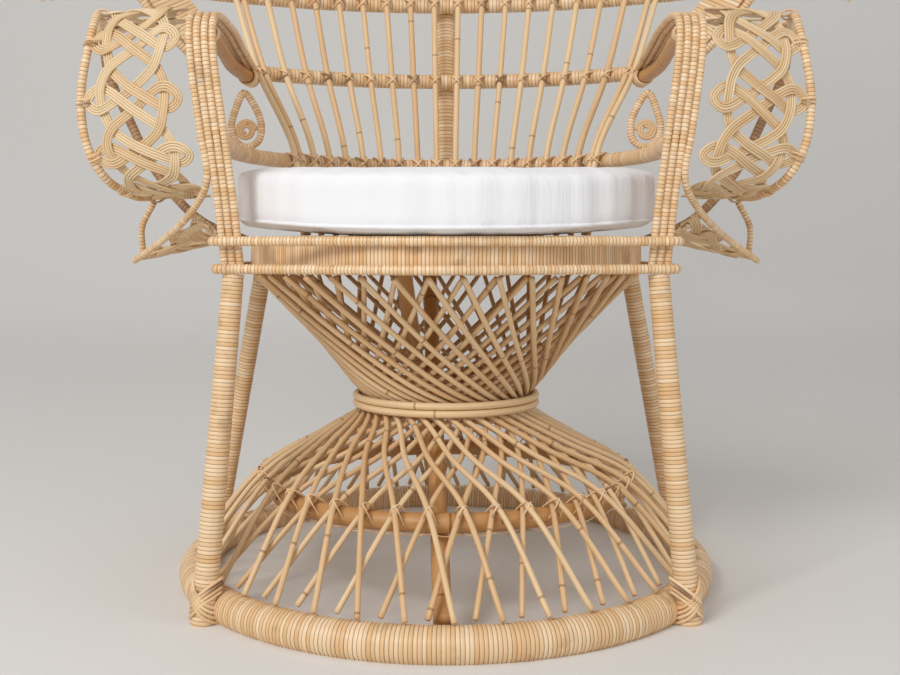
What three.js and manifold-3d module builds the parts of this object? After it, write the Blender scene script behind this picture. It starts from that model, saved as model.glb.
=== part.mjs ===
// A peacock armchair of wrapped rattan poles and canes, with a loose round cotton cushion.
// Millimetres, +Z up, the sitter faces -Y. The chair is modelled round the axis of its waisted base and
// is moved at the end, so that the middle of its box stands on the origin.
import * as THREE from "three";
import { mergeVertices } from "three/addons/utils/BufferGeometryUtils.js";
import Module from "manifold-3d";

const wasm = await Module();
wasm.setup();

// Clearance between pieces that lie against each other, and the slack that a bend made of short
// straight steps takes up.
const gap = 0.3;
const bendSlack = 0.5;
const wingSlack = 2;

// Corners of a mesh that lie closer than this are one corner
const sameCorner = 1e-4;

// Feet
const glideRadius = 13;
const glideHeight = 4;

// Base ring, with a notch for each front leg
const baseRingRadius = 282;
const baseRingPole = 35;

// Legs. The front ones stand across the ring, the rear ones behind it.
const frontFootStep = 22.7;
const frontFootAngle = 51.66;
const frontLegFoot = 25;
const frontLegTop = 21;
const rearLegPole = 21;
const rearFootAngle = 111;
const rearTopAngle = 108;
const rearTopRadius = 235;

// Waisted lattice of canes: the outer canes twist one way, the inner canes the other
const caneCount = 40;
const caneDiameter = 5.8;
const strapWidth = 5.6;
const strapThickness = 4.4;
const strapShift = 1.6;
const topSplit = 8.6;
const waistHeight = 196;
const waistRadius = 103.6;
const bindingDrop = 1;
const waistCane = 8;
const waistTurns = 2;
const neckDraw = 2.4;
const hoopHeight = 108;
const hoopInset = 85;
const hoopPole = 20;
const hoopClearance = 2.5;
const bellSlope = 41;
const topTwist = 76;
const waistTwist = 32;
const outerFootTwist = 6;
const innerFootTwist = 8;
const strutPole = 18;
const strutTopRadius = 172;
const strutShift = 3;
const strutBehind = 12;
const strutLean = 20;

// Seat
const seatRingInner = 206;
const seatRingOuter = 222;
const seatRingBottom = 350;
const seatRingHeight = 38;
const seatRailCane = 10;
const deckThickness = 8;
const deckDrop = 4;

// Cushion
const cushionRadius = 231;
const cushionBack = 203;
const cushionBackFrom = 96;
const cushionBackTo = 118;
const cushionThickness = 66;
const cushionCrown = 9;
const cushionDraw = 4;
const cushionEdge = 9;

// Back. The lowest rail has a height, and each other rail rises above the one below it.
const lowRailHeight = 486;
const lowRailRadius = 242.5;
const lowRailPole = 19;
const backRailPole = 20;
const midRailRise = 121;
const midRailReach = 266.6;
const midRailHalfWidth = 268;
const upperRailRise = 113;
const upperRailReach = 300;
const backLean = 13;
const ribLean = 19;
const midCurveRadius = 416;
const midRailSag = 97;
const upperCurveRadius = 630;
const curveOpening = 2.8;
const fanCurveRadius = 600;
const thirdRailRise = 185;
const fourthRailRise = 205;
const postPole = 27;
const postFootShift = 4;
const ribCount = 9;
const ribCane = 8;
const ribPitchLow = 25.9;
const ribPitchUpper = 33.8;

// Fan outline, measured at the wrapped rod inside the border. Its middle rises above the upper rail.
const fanCentreRise = 210;
const fanHalfWidth = 465;
const fanHalfHeight = 435;
const fanFootAngle = 47;
const borderFootAngle = 30;
const archBandWidth = 40;
const archBandThickness = 8;
const borderWidth = 85;
const borderRod = 10;
const strandWidth = 11;
const strandThickness = 3;
const strandRepeat = 156;
const looseEdge = 0.4;

// Arms. They rise above the mid rail, and the wings reach out from them.
const armCane = 7.5;
const armCaneCount = 4;
const armForward = 168;
const armFootOut = 213;
const armOut = 243;
const armRise = 10;
const wingReach = 134;
const wingRod = 9;
const wingTipReach = 102;
const wingTipHeight = 362;
const wingTipForward = 50;
const wingSplitHeight = 445;
const armEndClear = 20;
const lowerInnerForward = 120;
const lowerInnerBack = 70;
const braceCane = 11;
const tailCane = 7;
const scrollCane = 6;
const scrollRadius = 15;
const scrollAngle = 113;

// Shares of the sizes above, chosen by eye
const neckShares = [
  // height, radius and twist from the waist (0) up to the seat ring (1)
  [1, 1, 1],
  [0.58, 0.5, 0.825],
  [0.22, 0.135, 0.48],
  [0, 0, 0],
];
const bellShares = [
  // height, radius and twist from the waist (0) down to the inner hoop (1)
  [0.5, 0.47, 0.64],
  [1, 1, 1],
];
const armLineShares = [
  // depth from the front (0) to the mid rail (1), height from the seat (0) to the arm (1), spread
  [0, 0, 0],
  [0, 0.28, 0.27],
  [-0.01, 0.53, 0.56],
  [-0.01, 0.79, 0.88],
  [0, 0.91, 0.97],
  [0.035, 0.97, 1],
  [0.12, 1, 1.02],
  [0.42, 1.01, 1.12],
  [0.72, 1, 1.36],
  [1, 0.965, 1.5],
];
const wingShares = [
  // depth and height as on the arm, then how far the inner and the outer edge stand out
  [0.8, 1.12, 0.88, 1.19],
  [0.62, 1.1, 0.83, 1.12],
  [0.3, 1.06, 0.75, 1.03],
  [0.09, 1.01, 0.722, 0.985],
  [0.01, 0.86, 0.716, 0.985],
  [0, 0.68, 0.706, 1],
  [0, 0.5, 0.684, 0.985],
  [0.03, 0.375, 0.668, 0.945],
  [0.15, 0.31, 0.68, 0.9],
  [0.33, 0.31, 0.7, 0.88],
];
const wingSweepShare = 0.1;
const lowerEdgeShares = [
  // how far out, how far back from the front (0) to the tip (1), and how high above the tip
  [0, 0, 1],
  [0.19, 0.22, 0.64],
  [0.56, 0.6, 0.3],
  [1, 1, 0],
  [1.03, 1.35, 0.06],
  [0.96, 1.75, 0.16],
];
const braceShares = [
  // how far out, how far back of the middle, and how high above the seat
  [0, 0.14, 0],
  [0.42, 0.2, 0.11],
  [0.8, 0.27, 0.36],
  [1.03, 0.29, 0.63],
  [1.2, 0.29, 0.87],
];
const glideEdgeShare = 0.7;
const glideTopShare = 0.9;
const strapOverShare = 0.3;
const strutSeatShare = 0.95;
const railEaseShare = 0.9;
const ribStrapStartShare = 0.25;
const railSideShare = 0.5;
const cushionWaistShare = 0.4;
const crownShares = [
  // radius and height of the cushion's crown, out of its own
  [0.66, 0.55],
  [0.33, 0.9],
];
const tailSeatShare = 0.1;
const scrollStartShare = 1.05;
const scrollTopShare = 0.96;
const scrollBendShare = 0.45;

// How finely bends are divided
const waistSteps = 20;
const waistClimb = 3;
const railSteps = 14;
const archSteps = 38;
const strandSteps = 6;
const wingStrandSteps = 8;
const cushionSteps = 48;
const scrollSteps = 12;
const halvings = 40;

// Sides of round sections
const glideSides = 12;
const ringSides = 8;
const legSides = 8;
const postSides = 7;
const hoopSides = 6;
const rodSides = 5;
const thinSides = 4;

// Counts
const armFootStations = 5;
const lowerWingRepeats = 2;
const scrollTurns = 1.75;

// How far the flat sides of a round section lie from its middle, out of its radius
const flatOf = (sides) => Math.cos(Math.PI / sides);
const baseRingCentre = glideHeight + gap + (baseRingPole / 2) * flatOf(ringSides);
const hoopRadius = baseRingRadius - hoopInset;
const seatTop = seatRingBottom + seatRingHeight;
const midRailHeight = lowRailHeight + midRailRise;
const upperRailHeight = midRailHeight + upperRailRise;
const fanCentreHeight = upperRailHeight + fanCentreRise;
const thirdRailHeight = upperRailHeight + thirdRailRise;
const fourthRailHeight = thirdRailHeight + fourthRailRise;
const armHeight = midRailHeight + armRise;
const wingOut = armOut + wingReach;
const wingTipOut = armOut + wingTipReach;
const radians = THREE.MathUtils.degToRad;
const lerp = THREE.MathUtils.lerp;

const colours = {
  pole: new THREE.MeshStandardMaterial({ color: "#cf9c5c", roughness: 0.55, metalness: 0 }),
  wrapped: new THREE.MeshStandardMaterial({ color: "#dcb67c", roughness: 0.6, metalness: 0 }),
  reed: new THREE.MeshStandardMaterial({ color: "#e2c28c", roughness: 0.6, metalness: 0 }),
  cotton: new THREE.MeshStandardMaterial({ color: "#f0eeea", roughness: 0.95, metalness: 0 }),
  plastic: new THREE.MeshStandardMaterial({ color: "#e6e6e2", roughness: 0.5, metalness: 0 }),
};

const chair = new THREE.Group();

function add(name, geometry, material) {
  const mesh = new THREE.Mesh(geometry, material);
  mesh.name = name;
  chair.add(mesh);
  return mesh;
}

// A curve whose even steps fall on its own points, so that neighbouring pieces bend at the same places
class Route extends THREE.CatmullRomCurve3 {
  getPointAt(u, target) {
    return this.getPoint(u, target);
  }

  getTangentAt(u, target) {
    return this.getTangent(u, target);
  }
}

function point(x, y, z) {
  return new THREE.Vector3(x, y, z);
}

// A point at an angle round the axis, measured from the front towards +X
function polar(radius, degrees, z) {
  const angle = radians(degrees);
  return point(radius * Math.sin(angle), -radius * Math.cos(angle), z);
}

function section(diameter, sides) {
  const corners = [];
  for (let i = 0; i < sides; i += 1) {
    const angle = (2 * Math.PI * (i + 0.5)) / sides;
    corners.push(new THREE.Vector2(Math.cos(angle), Math.sin(angle)).multiplyScalar(diameter / 2));
  }
  return new THREE.Shape(corners);
}

// A cane or pole of one thickness along a list of points
function cane(points, diameter, sides, stepsEach = 1) {
  const route = new Route(points, false, "centripetal");
  return new THREE.ExtrudeGeometry(section(diameter, sides), {
    steps: (points.length - 1) * stepsEach,
    extrudePath: route,
    bevelEnabled: false,
  });
}

// A closed ring turned round the Z axis from a closed outline of [radius, height]
function turned(outline, segments) {
  const profile = outline.map(([radius, height]) => new THREE.Vector2(radius, height));
  profile.push(profile[0].clone());
  return new THREE.LatheGeometry(profile, segments).rotateX(Math.PI / 2);
}

function ring(radius, diameter, height, sides, segments) {
  const outline = [];
  for (let i = 0; i < sides; i += 1) {
    const angle = (2 * Math.PI * (i + 0.5)) / sides;
    const out = (diameter / 2) * Math.cos(angle);
    const up = (diameter / 2) * Math.sin(angle);
    outline.push([radius + out, height + up]);
  }
  return turned(outline, segments);
}

// A straight tapered pole between two points
function taperedPole(bottom, top, bottomDiameter, topDiameter, sides) {
  const length = bottom.distanceTo(top);
  const direction = top.clone().sub(bottom).normalize();
  const turn = new THREE.Quaternion().setFromUnitVectors(point(0, 1, 0), direction);
  const middle = bottom.clone().add(top).multiplyScalar(0.5);
  return new THREE.CylinderGeometry(topDiameter / 2, bottomDiameter / 2, length, sides)
    .applyQuaternion(turn)
    .translate(middle.x, middle.y, middle.z);
}

function solid(geometry) {
  const bare = geometry.clone();
  bare.deleteAttribute("normal");
  bare.deleteAttribute("uv");
  const merged = mergeVertices(bare, sameCorner);
  return new wasm.Manifold(
    new wasm.Mesh({
      numProp: 3,
      vertProperties: merged.attributes.position.array,
      triVerts: new Uint32Array(merged.index.array),
    }),
  );
}

function geometryOf(made) {
  const mesh = made.getMesh();
  const geometry = new THREE.BufferGeometry();
  geometry.setAttribute("position", new THREE.BufferAttribute(mesh.vertProperties, 3));
  geometry.setIndex(new THREE.BufferAttribute(mesh.triVerts, 1));
  return geometry;
}

function joined(geometries) {
  return geometryOf(geometries.map(solid).reduce((whole, next) => whole.add(next)));
}

function mirrored(points) {
  return points.map((p) => point(-p.x, p.y, p.z));
}

// Lattice and base

const caneRadius = caneDiameter / 2;
const layerStep = caneDiameter + gap;
const baseRingTop = baseRingCentre + (baseRingPole / 2) * flatOf(ringSides);
const ringMiddle = (seatRingInner + seatRingOuter) / 2;

// The outer canes' places round the axis: radius, height and twist, from the seat ring down to the
// base ring. Over the hoop they lie off its pole, with the inner canes between.
function outerStations() {
  const slope = radians(bellSlope);
  const offHoop = hoopPole / 2 + hoopClearance + caneRadius + layerStep;
  const hoop = [hoopRadius + offHoop * Math.sin(slope), hoopHeight + offHoop * Math.cos(slope)];
  const waist = waistRadius - waistCane / 2 - gap - neckDraw - caneRadius;
  const top = [ringMiddle + topSplit / 2, seatRingBottom - gap - caneRadius];
  const stations = neckShares.map(([up, out, twist]) => ({
    radius: lerp(waist, top[0], out),
    height: lerp(waistHeight, top[1], up),
    twist: -twist * topTwist - waistTwist,
  }));
  for (const [down, out, twist] of bellShares) {
    stations.push({
      radius: lerp(waist, hoop[0], out),
      height: lerp(waistHeight, hoop[1], down),
      twist: (twist - 1) * waistTwist,
    });
  }
  stations.push({
    radius: baseRingRadius + strapShift,
    height: baseRingTop + gap + caneRadius,
    twist: outerFootTwist,
  });
  return stations;
}

// The inner canes lie one thickness inside the outer ones, square to the slope, and turn the other way
function innerStations() {
  const outer = outerStations();
  const steepness = (a, b) => Math.hypot(1, (a.radius - b.radius) / (a.height - b.height));
  return outer.map((station, i) => {
    const before = i > 0 ? steepness(outer[i - 1], station) : 0;
    const after = i + 1 < outer.length ? steepness(station, outer[i + 1]) : 0;
    const last = i + 1 === outer.length;
    return {
      radius: station.radius - layerStep * Math.max(before, after),
      height: station.height,
      twist: last ? -innerFootTwist : -station.twist,
    };
  });
}

const layers = { outer: outerStations(), inner: innerStations() };

// Each layer is nailed down in quarters: the first cane of each, counted from the front towards +X
const quarterCanes = caneCount / 4;
const quarters = {
  front_right: 0,
  back_right: quarterCanes,
  back_left: 2 * quarterCanes,
  front_left: 3 * quarterCanes,
};

// The legs, hoops and struts stand on or between the pieces above and below them
const tiltOf = (bottom, top) => top.clone().sub(bottom).angleTo(point(0, 0, 1));

function standing(bottom, top, bottomDiameter, topDiameter, sides) {
  const tilt = Math.tan(tiltOf(bottom, top));
  const direction = top.clone().sub(bottom).normalize();
  const low = bottom.clone().addScaledVector(direction, (tilt * bottomDiameter) / 2);
  const high = top.clone().addScaledVector(direction, (-tilt * topDiameter) / 2);
  return taperedPole(low, high, bottomDiameter, topDiameter, sides);
}

function glide(foot) {
  const outline = [
    [0, 0],
    [glideRadius, 0],
    [glideRadius, glideHeight * glideEdgeShare],
    [glideRadius * glideTopShare, glideHeight],
    [0, glideHeight],
  ].map(([radius, height]) => new THREE.Vector2(radius, height));
  return new THREE.LatheGeometry(outline, glideSides).rotateX(Math.PI / 2).translate(foot.x, foot.y, 0);
}

function frontLeg(side, clearance = 0) {
  const foot = polar(baseRingRadius + frontFootStep, side * frontFootAngle, glideHeight + gap);
  const top = point(side * armFootOut, -armForward, seatRingBottom - gap);
  const wide = 2 * clearance;
  return standing(foot, top, frontLegFoot + wide, frontLegTop + wide, legSides);
}

function rearLeg(side, clearance = 0) {
  const footRadius = baseRingRadius + (baseRingPole + rearLegPole) / 2 + gap;
  const foot = polar(footRadius, side * rearFootAngle, glideHeight + gap);
  const top = polar(rearTopRadius, side * rearTopAngle, seatRingBottom - gap);
  const wide = 2 * clearance;
  return standing(foot, top, rearLegPole + wide, rearLegPole + wide, legSides);
}

// The ring is notched where the legs pass it
function baseRing() {
  let made = solid(ring(baseRingRadius, baseRingPole, baseRingCentre, ringSides, caneCount));
  for (const side of [1, -1]) {
    made = made.subtract(solid(frontLeg(side, gap))).subtract(solid(rearLeg(side, gap)));
  }
  return geometryOf(made);
}

// One cane of the lattice, from the seat ring through the waist and over the hoop to the base ring
function latticeCane(stations, hoopAngle) {
  const points = stations.map(({ radius, height, twist }) => polar(radius, hoopAngle + twist, height));
  return cane(points, caneDiameter, thinSides);
}

function strap(radius, fromAngle, toAngle, steps, bottom, width, thickness) {
  const points = [];
  for (let i = 0; i <= steps; i += 1) {
    const angle = fromAngle + ((toAngle - fromAngle) * i) / steps;
    points.push(polar(radius, angle, bottom + thickness / 2));
  }
  const flat = new THREE.Shape([
    new THREE.Vector2(-thickness / 2, -width / 2),
    new THREE.Vector2(thickness / 2, -width / 2),
    new THREE.Vector2(thickness / 2, width / 2),
    new THREE.Vector2(-thickness / 2, width / 2),
  ]);
  return new THREE.ExtrudeGeometry(flat, {
    steps,
    extrudePath: new Route(points, false, "centripetal"),
    bevelEnabled: false,
  });
}

// A quarter of one layer, with its feet nailed down under a strap of split cane
function latticeQuarter(stations, first) {
  const pitch = 360 / caneCount;
  const last = first + quarterCanes;
  const canes = [];
  for (let i = first; i < last; i += 1) {
    canes.push(latticeCane(stations, pitch * (i + 0.5)));
  }
  const foot = stations[stations.length - 1];
  const ends = [first + 0.5 - strapOverShare, last - 0.5 + strapOverShare];
  const [from, to] = ends.map((place) => pitch * place + foot.twist);
  const bottom = baseRingTop + gap;
  canes.push(strap(foot.radius, from, to, quarterCanes, bottom, strapWidth, strapThickness));
  return joined(canes);
}

// One strut rises from the front of the ring to the back of the deck, the other the opposite way. They pass
// side by side inside the waist, a little left of the middle, and both lean to the left.
function strut(facing) {
  const front = facing === "front";
  const angle = front ? 0 : 180;
  const reach = (baseRingPole + strutPole) / 2 + gap;
  const footRadius = baseRingRadius - reach * strutSeatShare;
  const footHeight = baseRingCentre + reach * Math.sqrt(1 - strutSeatShare ** 2);
  const meetingShare = footRadius / (footRadius + strutTopRadius);
  const besideLean = (strutPole + 2 * gap - strutBehind) / meetingShare;
  const foot = polar(footRadius, angle, footHeight);
  const top = polar(strutTopRadius, angle + 180, seatTop - deckDrop - deckThickness - gap);
  foot.x -= strutShift + (front ? 0 : strutBehind);
  top.x = foot.x - strutLean - (front ? 0 : besideLean);
  return standing(foot, top, strutPole, strutPole, legSides);
}

// One cane is wound twice round the waist and climbs from the first turn to the second at the back
function waistBinding() {
  const points = [];
  const pitch = 360 / waistSteps;
  const steps = waistTurns * waistSteps - waistClimb;
  for (let i = 0; i <= steps; i += 1) {
    const climbed = THREE.MathUtils.clamp((i - waistSteps + waistClimb) / waistClimb, 0, 1);
    const first = waistHeight + waistCane / 2 - bindingDrop;
    const height = first + climbed * (waistCane + gap);
    points.push(polar(waistRadius, 180 + pitch * (i + waistClimb / 2), height));
  }
  return cane(points, waistCane, rodSides);
}

// Seat

function seatRing() {
  return turned(
    [
      [seatRingInner, seatRingBottom],
      [seatRingOuter, seatRingBottom],
      [seatRingOuter, seatTop],
      [seatRingInner, seatTop],
    ],
    caneCount,
  );
}

function deck() {
  const top = seatTop - deckDrop;
  const radius = seatRingInner - gap;
  const outline = [
    [0, top - deckThickness],
    [radius, top - deckThickness],
    [radius, top],
    [0, top],
  ].map(([r, z]) => new THREE.Vector2(r, z));
  return new THREE.LatheGeometry(outline, caneCount).rotateX(Math.PI / 2);
}

// The place of the arm's own line and of the canes beside it
function armLine([depth, height, spread]) {
  const rear = midRailReach - midRailSag;
  return point(
    armFootOut + spread * (armOut - armFootOut),
    -armForward + depth * (rear + armForward - armEndClear),
    seatRingBottom + gap + height * (armHeight - seatRingBottom - gap),
  );
}

const armPitch = armCane + gap;
const railRadius = seatRailCane / 2;

// A rail lies round the seat ring and bends outside the feet of the arm canes
function seatRail(height) {
  const ringRadius = seatRingOuter + railRadius + gap;
  const around = armCane / 2 + railRadius + gap + bendSlack;
  const arm = armLineAt(height).x;
  const corner = point(arm + armPitch, -armForward, height);
  const pitch = 360 / caneCount;
  const half = [0, 1, 2].map((i) => polar(ringRadius, pitch * i, height));
  half.push(point(arm - armPitch, -armForward - around, height));
  for (const angle of [0, 45, 90]) {
    half.push(corner.clone().add(polar(around, angle, 0)));
  }
  half.push(point(corner.x + around * railEaseShare, -armForward * railSideShare, height));
  for (let i = caneCount / 4; i < caneCount / 2; i += 1) {
    half.push(polar(ringRadius, pitch * i, height));
  }
  const end = polar(ringRadius, 180, height);
  end.x = gap;
  half.push(end);
  const otherHalf = mirrored(half.slice(1)).reverse();
  return cane([...otherHalf, ...half], seatRailCane, rodSides);
}

// The cushion is boxed: its side draws in between two seams and its top is crowned. It is round, but
// narrower at the back, where it lies between the ribs.
function cushion() {
  const bottom = seatTop + gap;
  const top = bottom + cushionThickness;
  const outline = [
    [0, bottom],
    [cushionRadius - 2 * cushionEdge, bottom],
    [cushionRadius - cushionEdge / 2, bottom + cushionEdge / 3],
    [cushionRadius, bottom + cushionEdge],
    [cushionRadius - cushionDraw, bottom + cushionThickness * cushionWaistShare],
    [cushionRadius - cushionDraw / 2, top - 2 * cushionEdge],
    [cushionRadius - cushionEdge, top - cushionEdge],
    [cushionRadius - 3 * cushionEdge, top - cushionEdge / 4],
    ...crownShares.map(([out, up]) => [cushionRadius * out, top + cushionCrown * up]),
    [0, top + cushionCrown],
  ].map(([r, z]) => new THREE.Vector2(r, z));
  const shape = new THREE.LatheGeometry(outline, cushionSteps).rotateX(Math.PI / 2);
  const places = shape.attributes.position;
  for (let i = 0; i < places.count; i += 1) {
    const x = places.getX(i);
    const y = places.getY(i);
    const fromFront = 180 - THREE.MathUtils.radToDeg(Math.abs(Math.atan2(x, y)));
    const drawn = THREE.MathUtils.smoothstep(fromFront, cushionBackFrom, cushionBackTo);
    const scale = 1 - drawn * (1 - cushionBack / cushionRadius);
    places.setX(i, x * scale);
    places.setY(i, y * scale);
  }
  return shape;
}

// Back

const railStandOff = (backRailPole + ribCane) / 2 + gap + bendSlack;
const ribStandOff = railStandOff / Math.cos(radians(ribLean));
const upperStandOff = railStandOff / Math.cos(radians(backLean));
const ribLowRadius = lowRailRadius - (lowRailPole + ribCane) / 2;
const ribStepAngle = THREE.MathUtils.radToDeg(ribPitchLow / ribLowRadius);

function curveRadius(z) {
  if (z < upperRailHeight) {
    const share = (z - midRailHeight) / (upperRailHeight - midRailHeight);
    return midCurveRadius + share * (upperCurveRadius - midCurveRadius);
  }
  return upperCurveRadius + curveOpening * (z - upperRailHeight);
}

// How far back the middle of the rails lies at a height
function railReach(z) {
  if (z > upperRailHeight) {
    return upperRailReach + (z - upperRailHeight) * Math.tan(radians(backLean));
  }
  const share = (z - midRailHeight) / (upperRailHeight - midRailHeight);
  return midRailReach + share * (upperRailReach - midRailReach);
}

// A place on the surface of the ribs, at a distance from the middle along a level line
function onBack(along, z) {
  const radius = curveRadius(z);
  const angle = along / radius;
  const reach = railReach(z) - ribStandOff;
  return point(radius * Math.sin(angle), reach - radius * (1 - Math.cos(angle)), z);
}

// The same surface at a sideways place, which opens out low down, where the arch passes the arms
function onFan(x, z) {
  const radius = Math.max(curveRadius(z), fanCurveRadius);
  const reach = railReach(z) - ribStandOff;
  return point(x, reach - (radius - Math.sqrt(radius * radius - x * x)), z);
}

function backRail(z, halfWidth) {
  const radius = curveRadius(z) + ribStandOff;
  const half = halfWidth / radius;
  const middle = railReach(z) - (z > upperRailHeight ? ribStandOff - upperStandOff : 0);
  const points = [];
  for (let i = 0; i <= railSteps; i += 1) {
    const angle = half * ((2 * i) / railSteps - 1);
    points.push(point(radius * Math.sin(angle), middle - radius * (1 - Math.cos(angle)), z));
  }
  return cane(points, backRailPole, rodSides);
}

function lowRail() {
  const pitch = 360 / caneCount;
  const front = armLineAt(lowRailHeight);
  const start = -armForward + armCane / 2 + gap;
  const half = [point(front.x, start, lowRailHeight)];
  half.push(point((front.x + lowRailRadius) / 2, start / 2, lowRailHeight));
  for (let i = caneCount / 4; i <= caneCount / 2; i += 1) {
    half.push(polar(lowRailRadius, pitch * i, lowRailHeight));
  }
  const otherHalf = mirrored(half.slice(0, -1));
  return cane([...otherHalf, ...half.reverse()], lowRailPole, hoopSides);
}

function armLineAt(z) {
  const stations = armLineShares.slice(0, armFootStations).map(armLine);
  const upper = stations.findIndex((p) => p.z > z);
  const [a, b] = [stations[upper - 1], stations[upper]];
  return a.clone().lerp(b, (z - a.z) / (b.z - a.z));
}

function post() {
  const behind = (backRailPole + postPole) / 2 + gap + bendSlack;
  const lowReach = lowRailRadius + (lowRailPole + postPole) / 2 + gap + bendSlack;
  const foot = point(0, seatRingOuter + railRadius + postFootShift, seatTop + gap + railRadius);
  const low = point(0, lowReach, lowRailHeight);
  const top = fanCentreHeight + fanHalfHeight - archBandWidth;
  const places = [midRailHeight, upperRailHeight, top].map((z) => point(0, railReach(z) + behind, z));
  return cane([foot, low, ...places], postPole, postSides);
}

function ellipse(angle, grow) {
  const turn = radians(angle);
  return [
    (fanHalfWidth + grow) * Math.cos(turn),
    fanCentreHeight + (fanHalfHeight + grow) * Math.sin(turn),
  ];
}

function fanPoint(angle, grow) {
  return onFan(...ellipse(angle, grow));
}

function fanAngles(footAngle) {
  const angles = [];
  for (let i = 0; i <= archSteps; i += 1) {
    angles.push(-footAngle + ((180 + 2 * footAngle) * i) / archSteps);
  }
  return angles;
}

const bandOuter = -borderRod / 2 - gap;
const bandInner = bandOuter - archBandWidth;

function archBand() {
  const angles = fanAngles(fanFootAngle);
  const outer = angles.map((angle) => new THREE.Vector2(...ellipse(angle, bandOuter)));
  const inner = angles.map((angle) => new THREE.Vector2(...ellipse(angle, bandInner)));
  const flat = new THREE.Shape([...outer, ...inner.reverse()]);
  const band = new THREE.ExtrudeGeometry(flat, { depth: archBandThickness, bevelEnabled: false });
  const places = band.attributes.position;
  for (let i = 0; i < places.count; i += 1) {
    const place = onFan(places.getX(i), places.getY(i));
    const behind = archBandThickness / 2 - places.getZ(i);
    places.setXYZ(i, place.x, place.y + behind, place.z);
  }
  return band;
}

// A rib climbs from the seat ring in front of the rails and fans out to the inside of the arch
function rib(index, side) {
  const order = index + 0.5;
  const pitchSlope = (ribPitchUpper - ribPitchLow) / (upperRailHeight - lowRailHeight);
  const pitchAt = (z) => ribPitchLow + (z - lowRailHeight) * pitchSlope;
  const angle = 180 - order * ribStepAngle;
  const footHeight = seatTop + gap + strapThickness / 2;
  const bend = lowRailHeight + lowRailPole / 2;
  const points = [polar(ringMiddle, angle, footHeight), polar(ribLowRadius, angle, bend)];
  points.push(onBack(order * pitchAt(midRailHeight), midRailHeight));
  points.push(onBack(order * pitchAt(upperRailHeight), upperRailHeight));
  const tip = ribTip(order, pitchAt);
  const middle = (upperRailHeight + tip.z) / 2;
  points.push(onBack(order * pitchAt(middle), middle), tip);
  return cane(side > 0 ? points : mirrored(points), ribCane, thinSides);
}

// The rib ends where its edge reaches the band, found by halving
function ribTip(order, pitchAt) {
  let low = upperRailHeight;
  let high = fanCentreHeight + fanHalfHeight;
  const clear = bandInner - gap - ribCane / 2;
  for (let i = 0; i < halvings; i += 1) {
    const z = (low + high) / 2;
    const place = onBack(order * pitchAt(z), z);
    const across = place.x / (fanHalfWidth + clear);
    const up = (z - fanCentreHeight) / (fanHalfHeight + clear);
    if (across * across + up * up < 1) {
      low = z;
    } else {
      high = z;
    }
  }
  return onBack(order * pitchAt(low), low);
}

function ribs(side) {
  const canes = [];
  for (let i = 0; i < ribCount; i += 1) {
    canes.push(rib(i, side));
  }
  const nearest = side * (180 - ribStepAngle * ribStrapStartShare);
  const farthest = side * (180 - ribStepAngle * (ribCount - ribStrapStartShare));
  canes.push(
    strap(ringMiddle, nearest, farthest, ribCount, seatTop + gap, strapWidth, strapThickness),
  );
  return joined(canes);
}

function fanRod(grow, footAngle, diameter) {
  const points = fanAngles(footAngle).map((angle) => fanPoint(angle, grow));
  return cane(points, diameter, rodSides);
}

// A woven strand: a flat ribbon that swings from edge to edge of a strip of surface. The strip lies
// between two lines given as functions of a share along it, and the ribbon lies just off its middle.
function strand({ inner, outer, repeats, phase, innerMargin, outerMargin, lift, steps }) {
  const place = (u, v) => inner(u).clone().lerp(outer(u), v);
  const centre = [];
  const count = Math.round(repeats * steps);
  for (let i = 0; i <= count; i += 1) {
    const u = i / count;
    const width = inner(u).distanceTo(outer(u));
    const low = (innerMargin + strandWidth / 2) / width;
    const high = 1 - (outerMargin + strandWidth / 2) / width;
    const swing = Math.sin(2 * Math.PI * repeats * u + phase);
    centre.push([u, (low + high) / 2 + (swing * (high - low)) / 2]);
  }
  const flat = centre.map(([u, v]) => place(u, v));
  const normals = centre.map(([u, v]) => {
    const step = 0.5 / count;
    const from = Math.max(0, u - step);
    const to = Math.min(1, u + step);
    const along = place(to, v).sub(place(from, v));
    const across = outer(u).clone().sub(inner(u));
    return along.cross(across).normalize();
  });
  const rings = flat.map((p, i) => {
    const before = flat[Math.max(0, i - 1)];
    const after = flat[Math.min(count, i + 1)];
    const side = after.clone().sub(before).cross(normals[i]).normalize();
    const half = side.multiplyScalar(strandWidth / 2);
    const rise = normals[i].clone().multiplyScalar(strandThickness / 2);
    const middle = p.clone().addScaledVector(normals[i], lift);
    return [
      middle.clone().sub(half).sub(rise),
      middle.clone().add(half).sub(rise),
      middle.clone().add(half).add(rise),
      middle.clone().sub(half).add(rise),
    ];
  });
  return lofted(rings);
}

// A closed solid through rings of corners, capped at both ends
function lofted(rings) {
  const sides = rings[0].length;
  const places = rings.flat().flatMap((p) => [p.x, p.y, p.z]);
  const faces = [];
  for (let i = 0; i + 1 < rings.length; i += 1) {
    for (let j = 0; j < sides; j += 1) {
      const a = i * sides + j;
      const b = i * sides + ((j + 1) % sides);
      faces.push(a, a + sides, b, b, a + sides, b + sides);
    }
  }
  const last = (rings.length - 1) * sides;
  for (let j = 1; j + 1 < sides; j += 1) {
    faces.push(0, j, j + 1, last, last + j + 1, last + j);
  }
  const geometry = new THREE.BufferGeometry();
  geometry.setAttribute("position", new THREE.Float32BufferAttribute(places, 3));
  geometry.setIndex(faces);
  return geometry;
}

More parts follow.
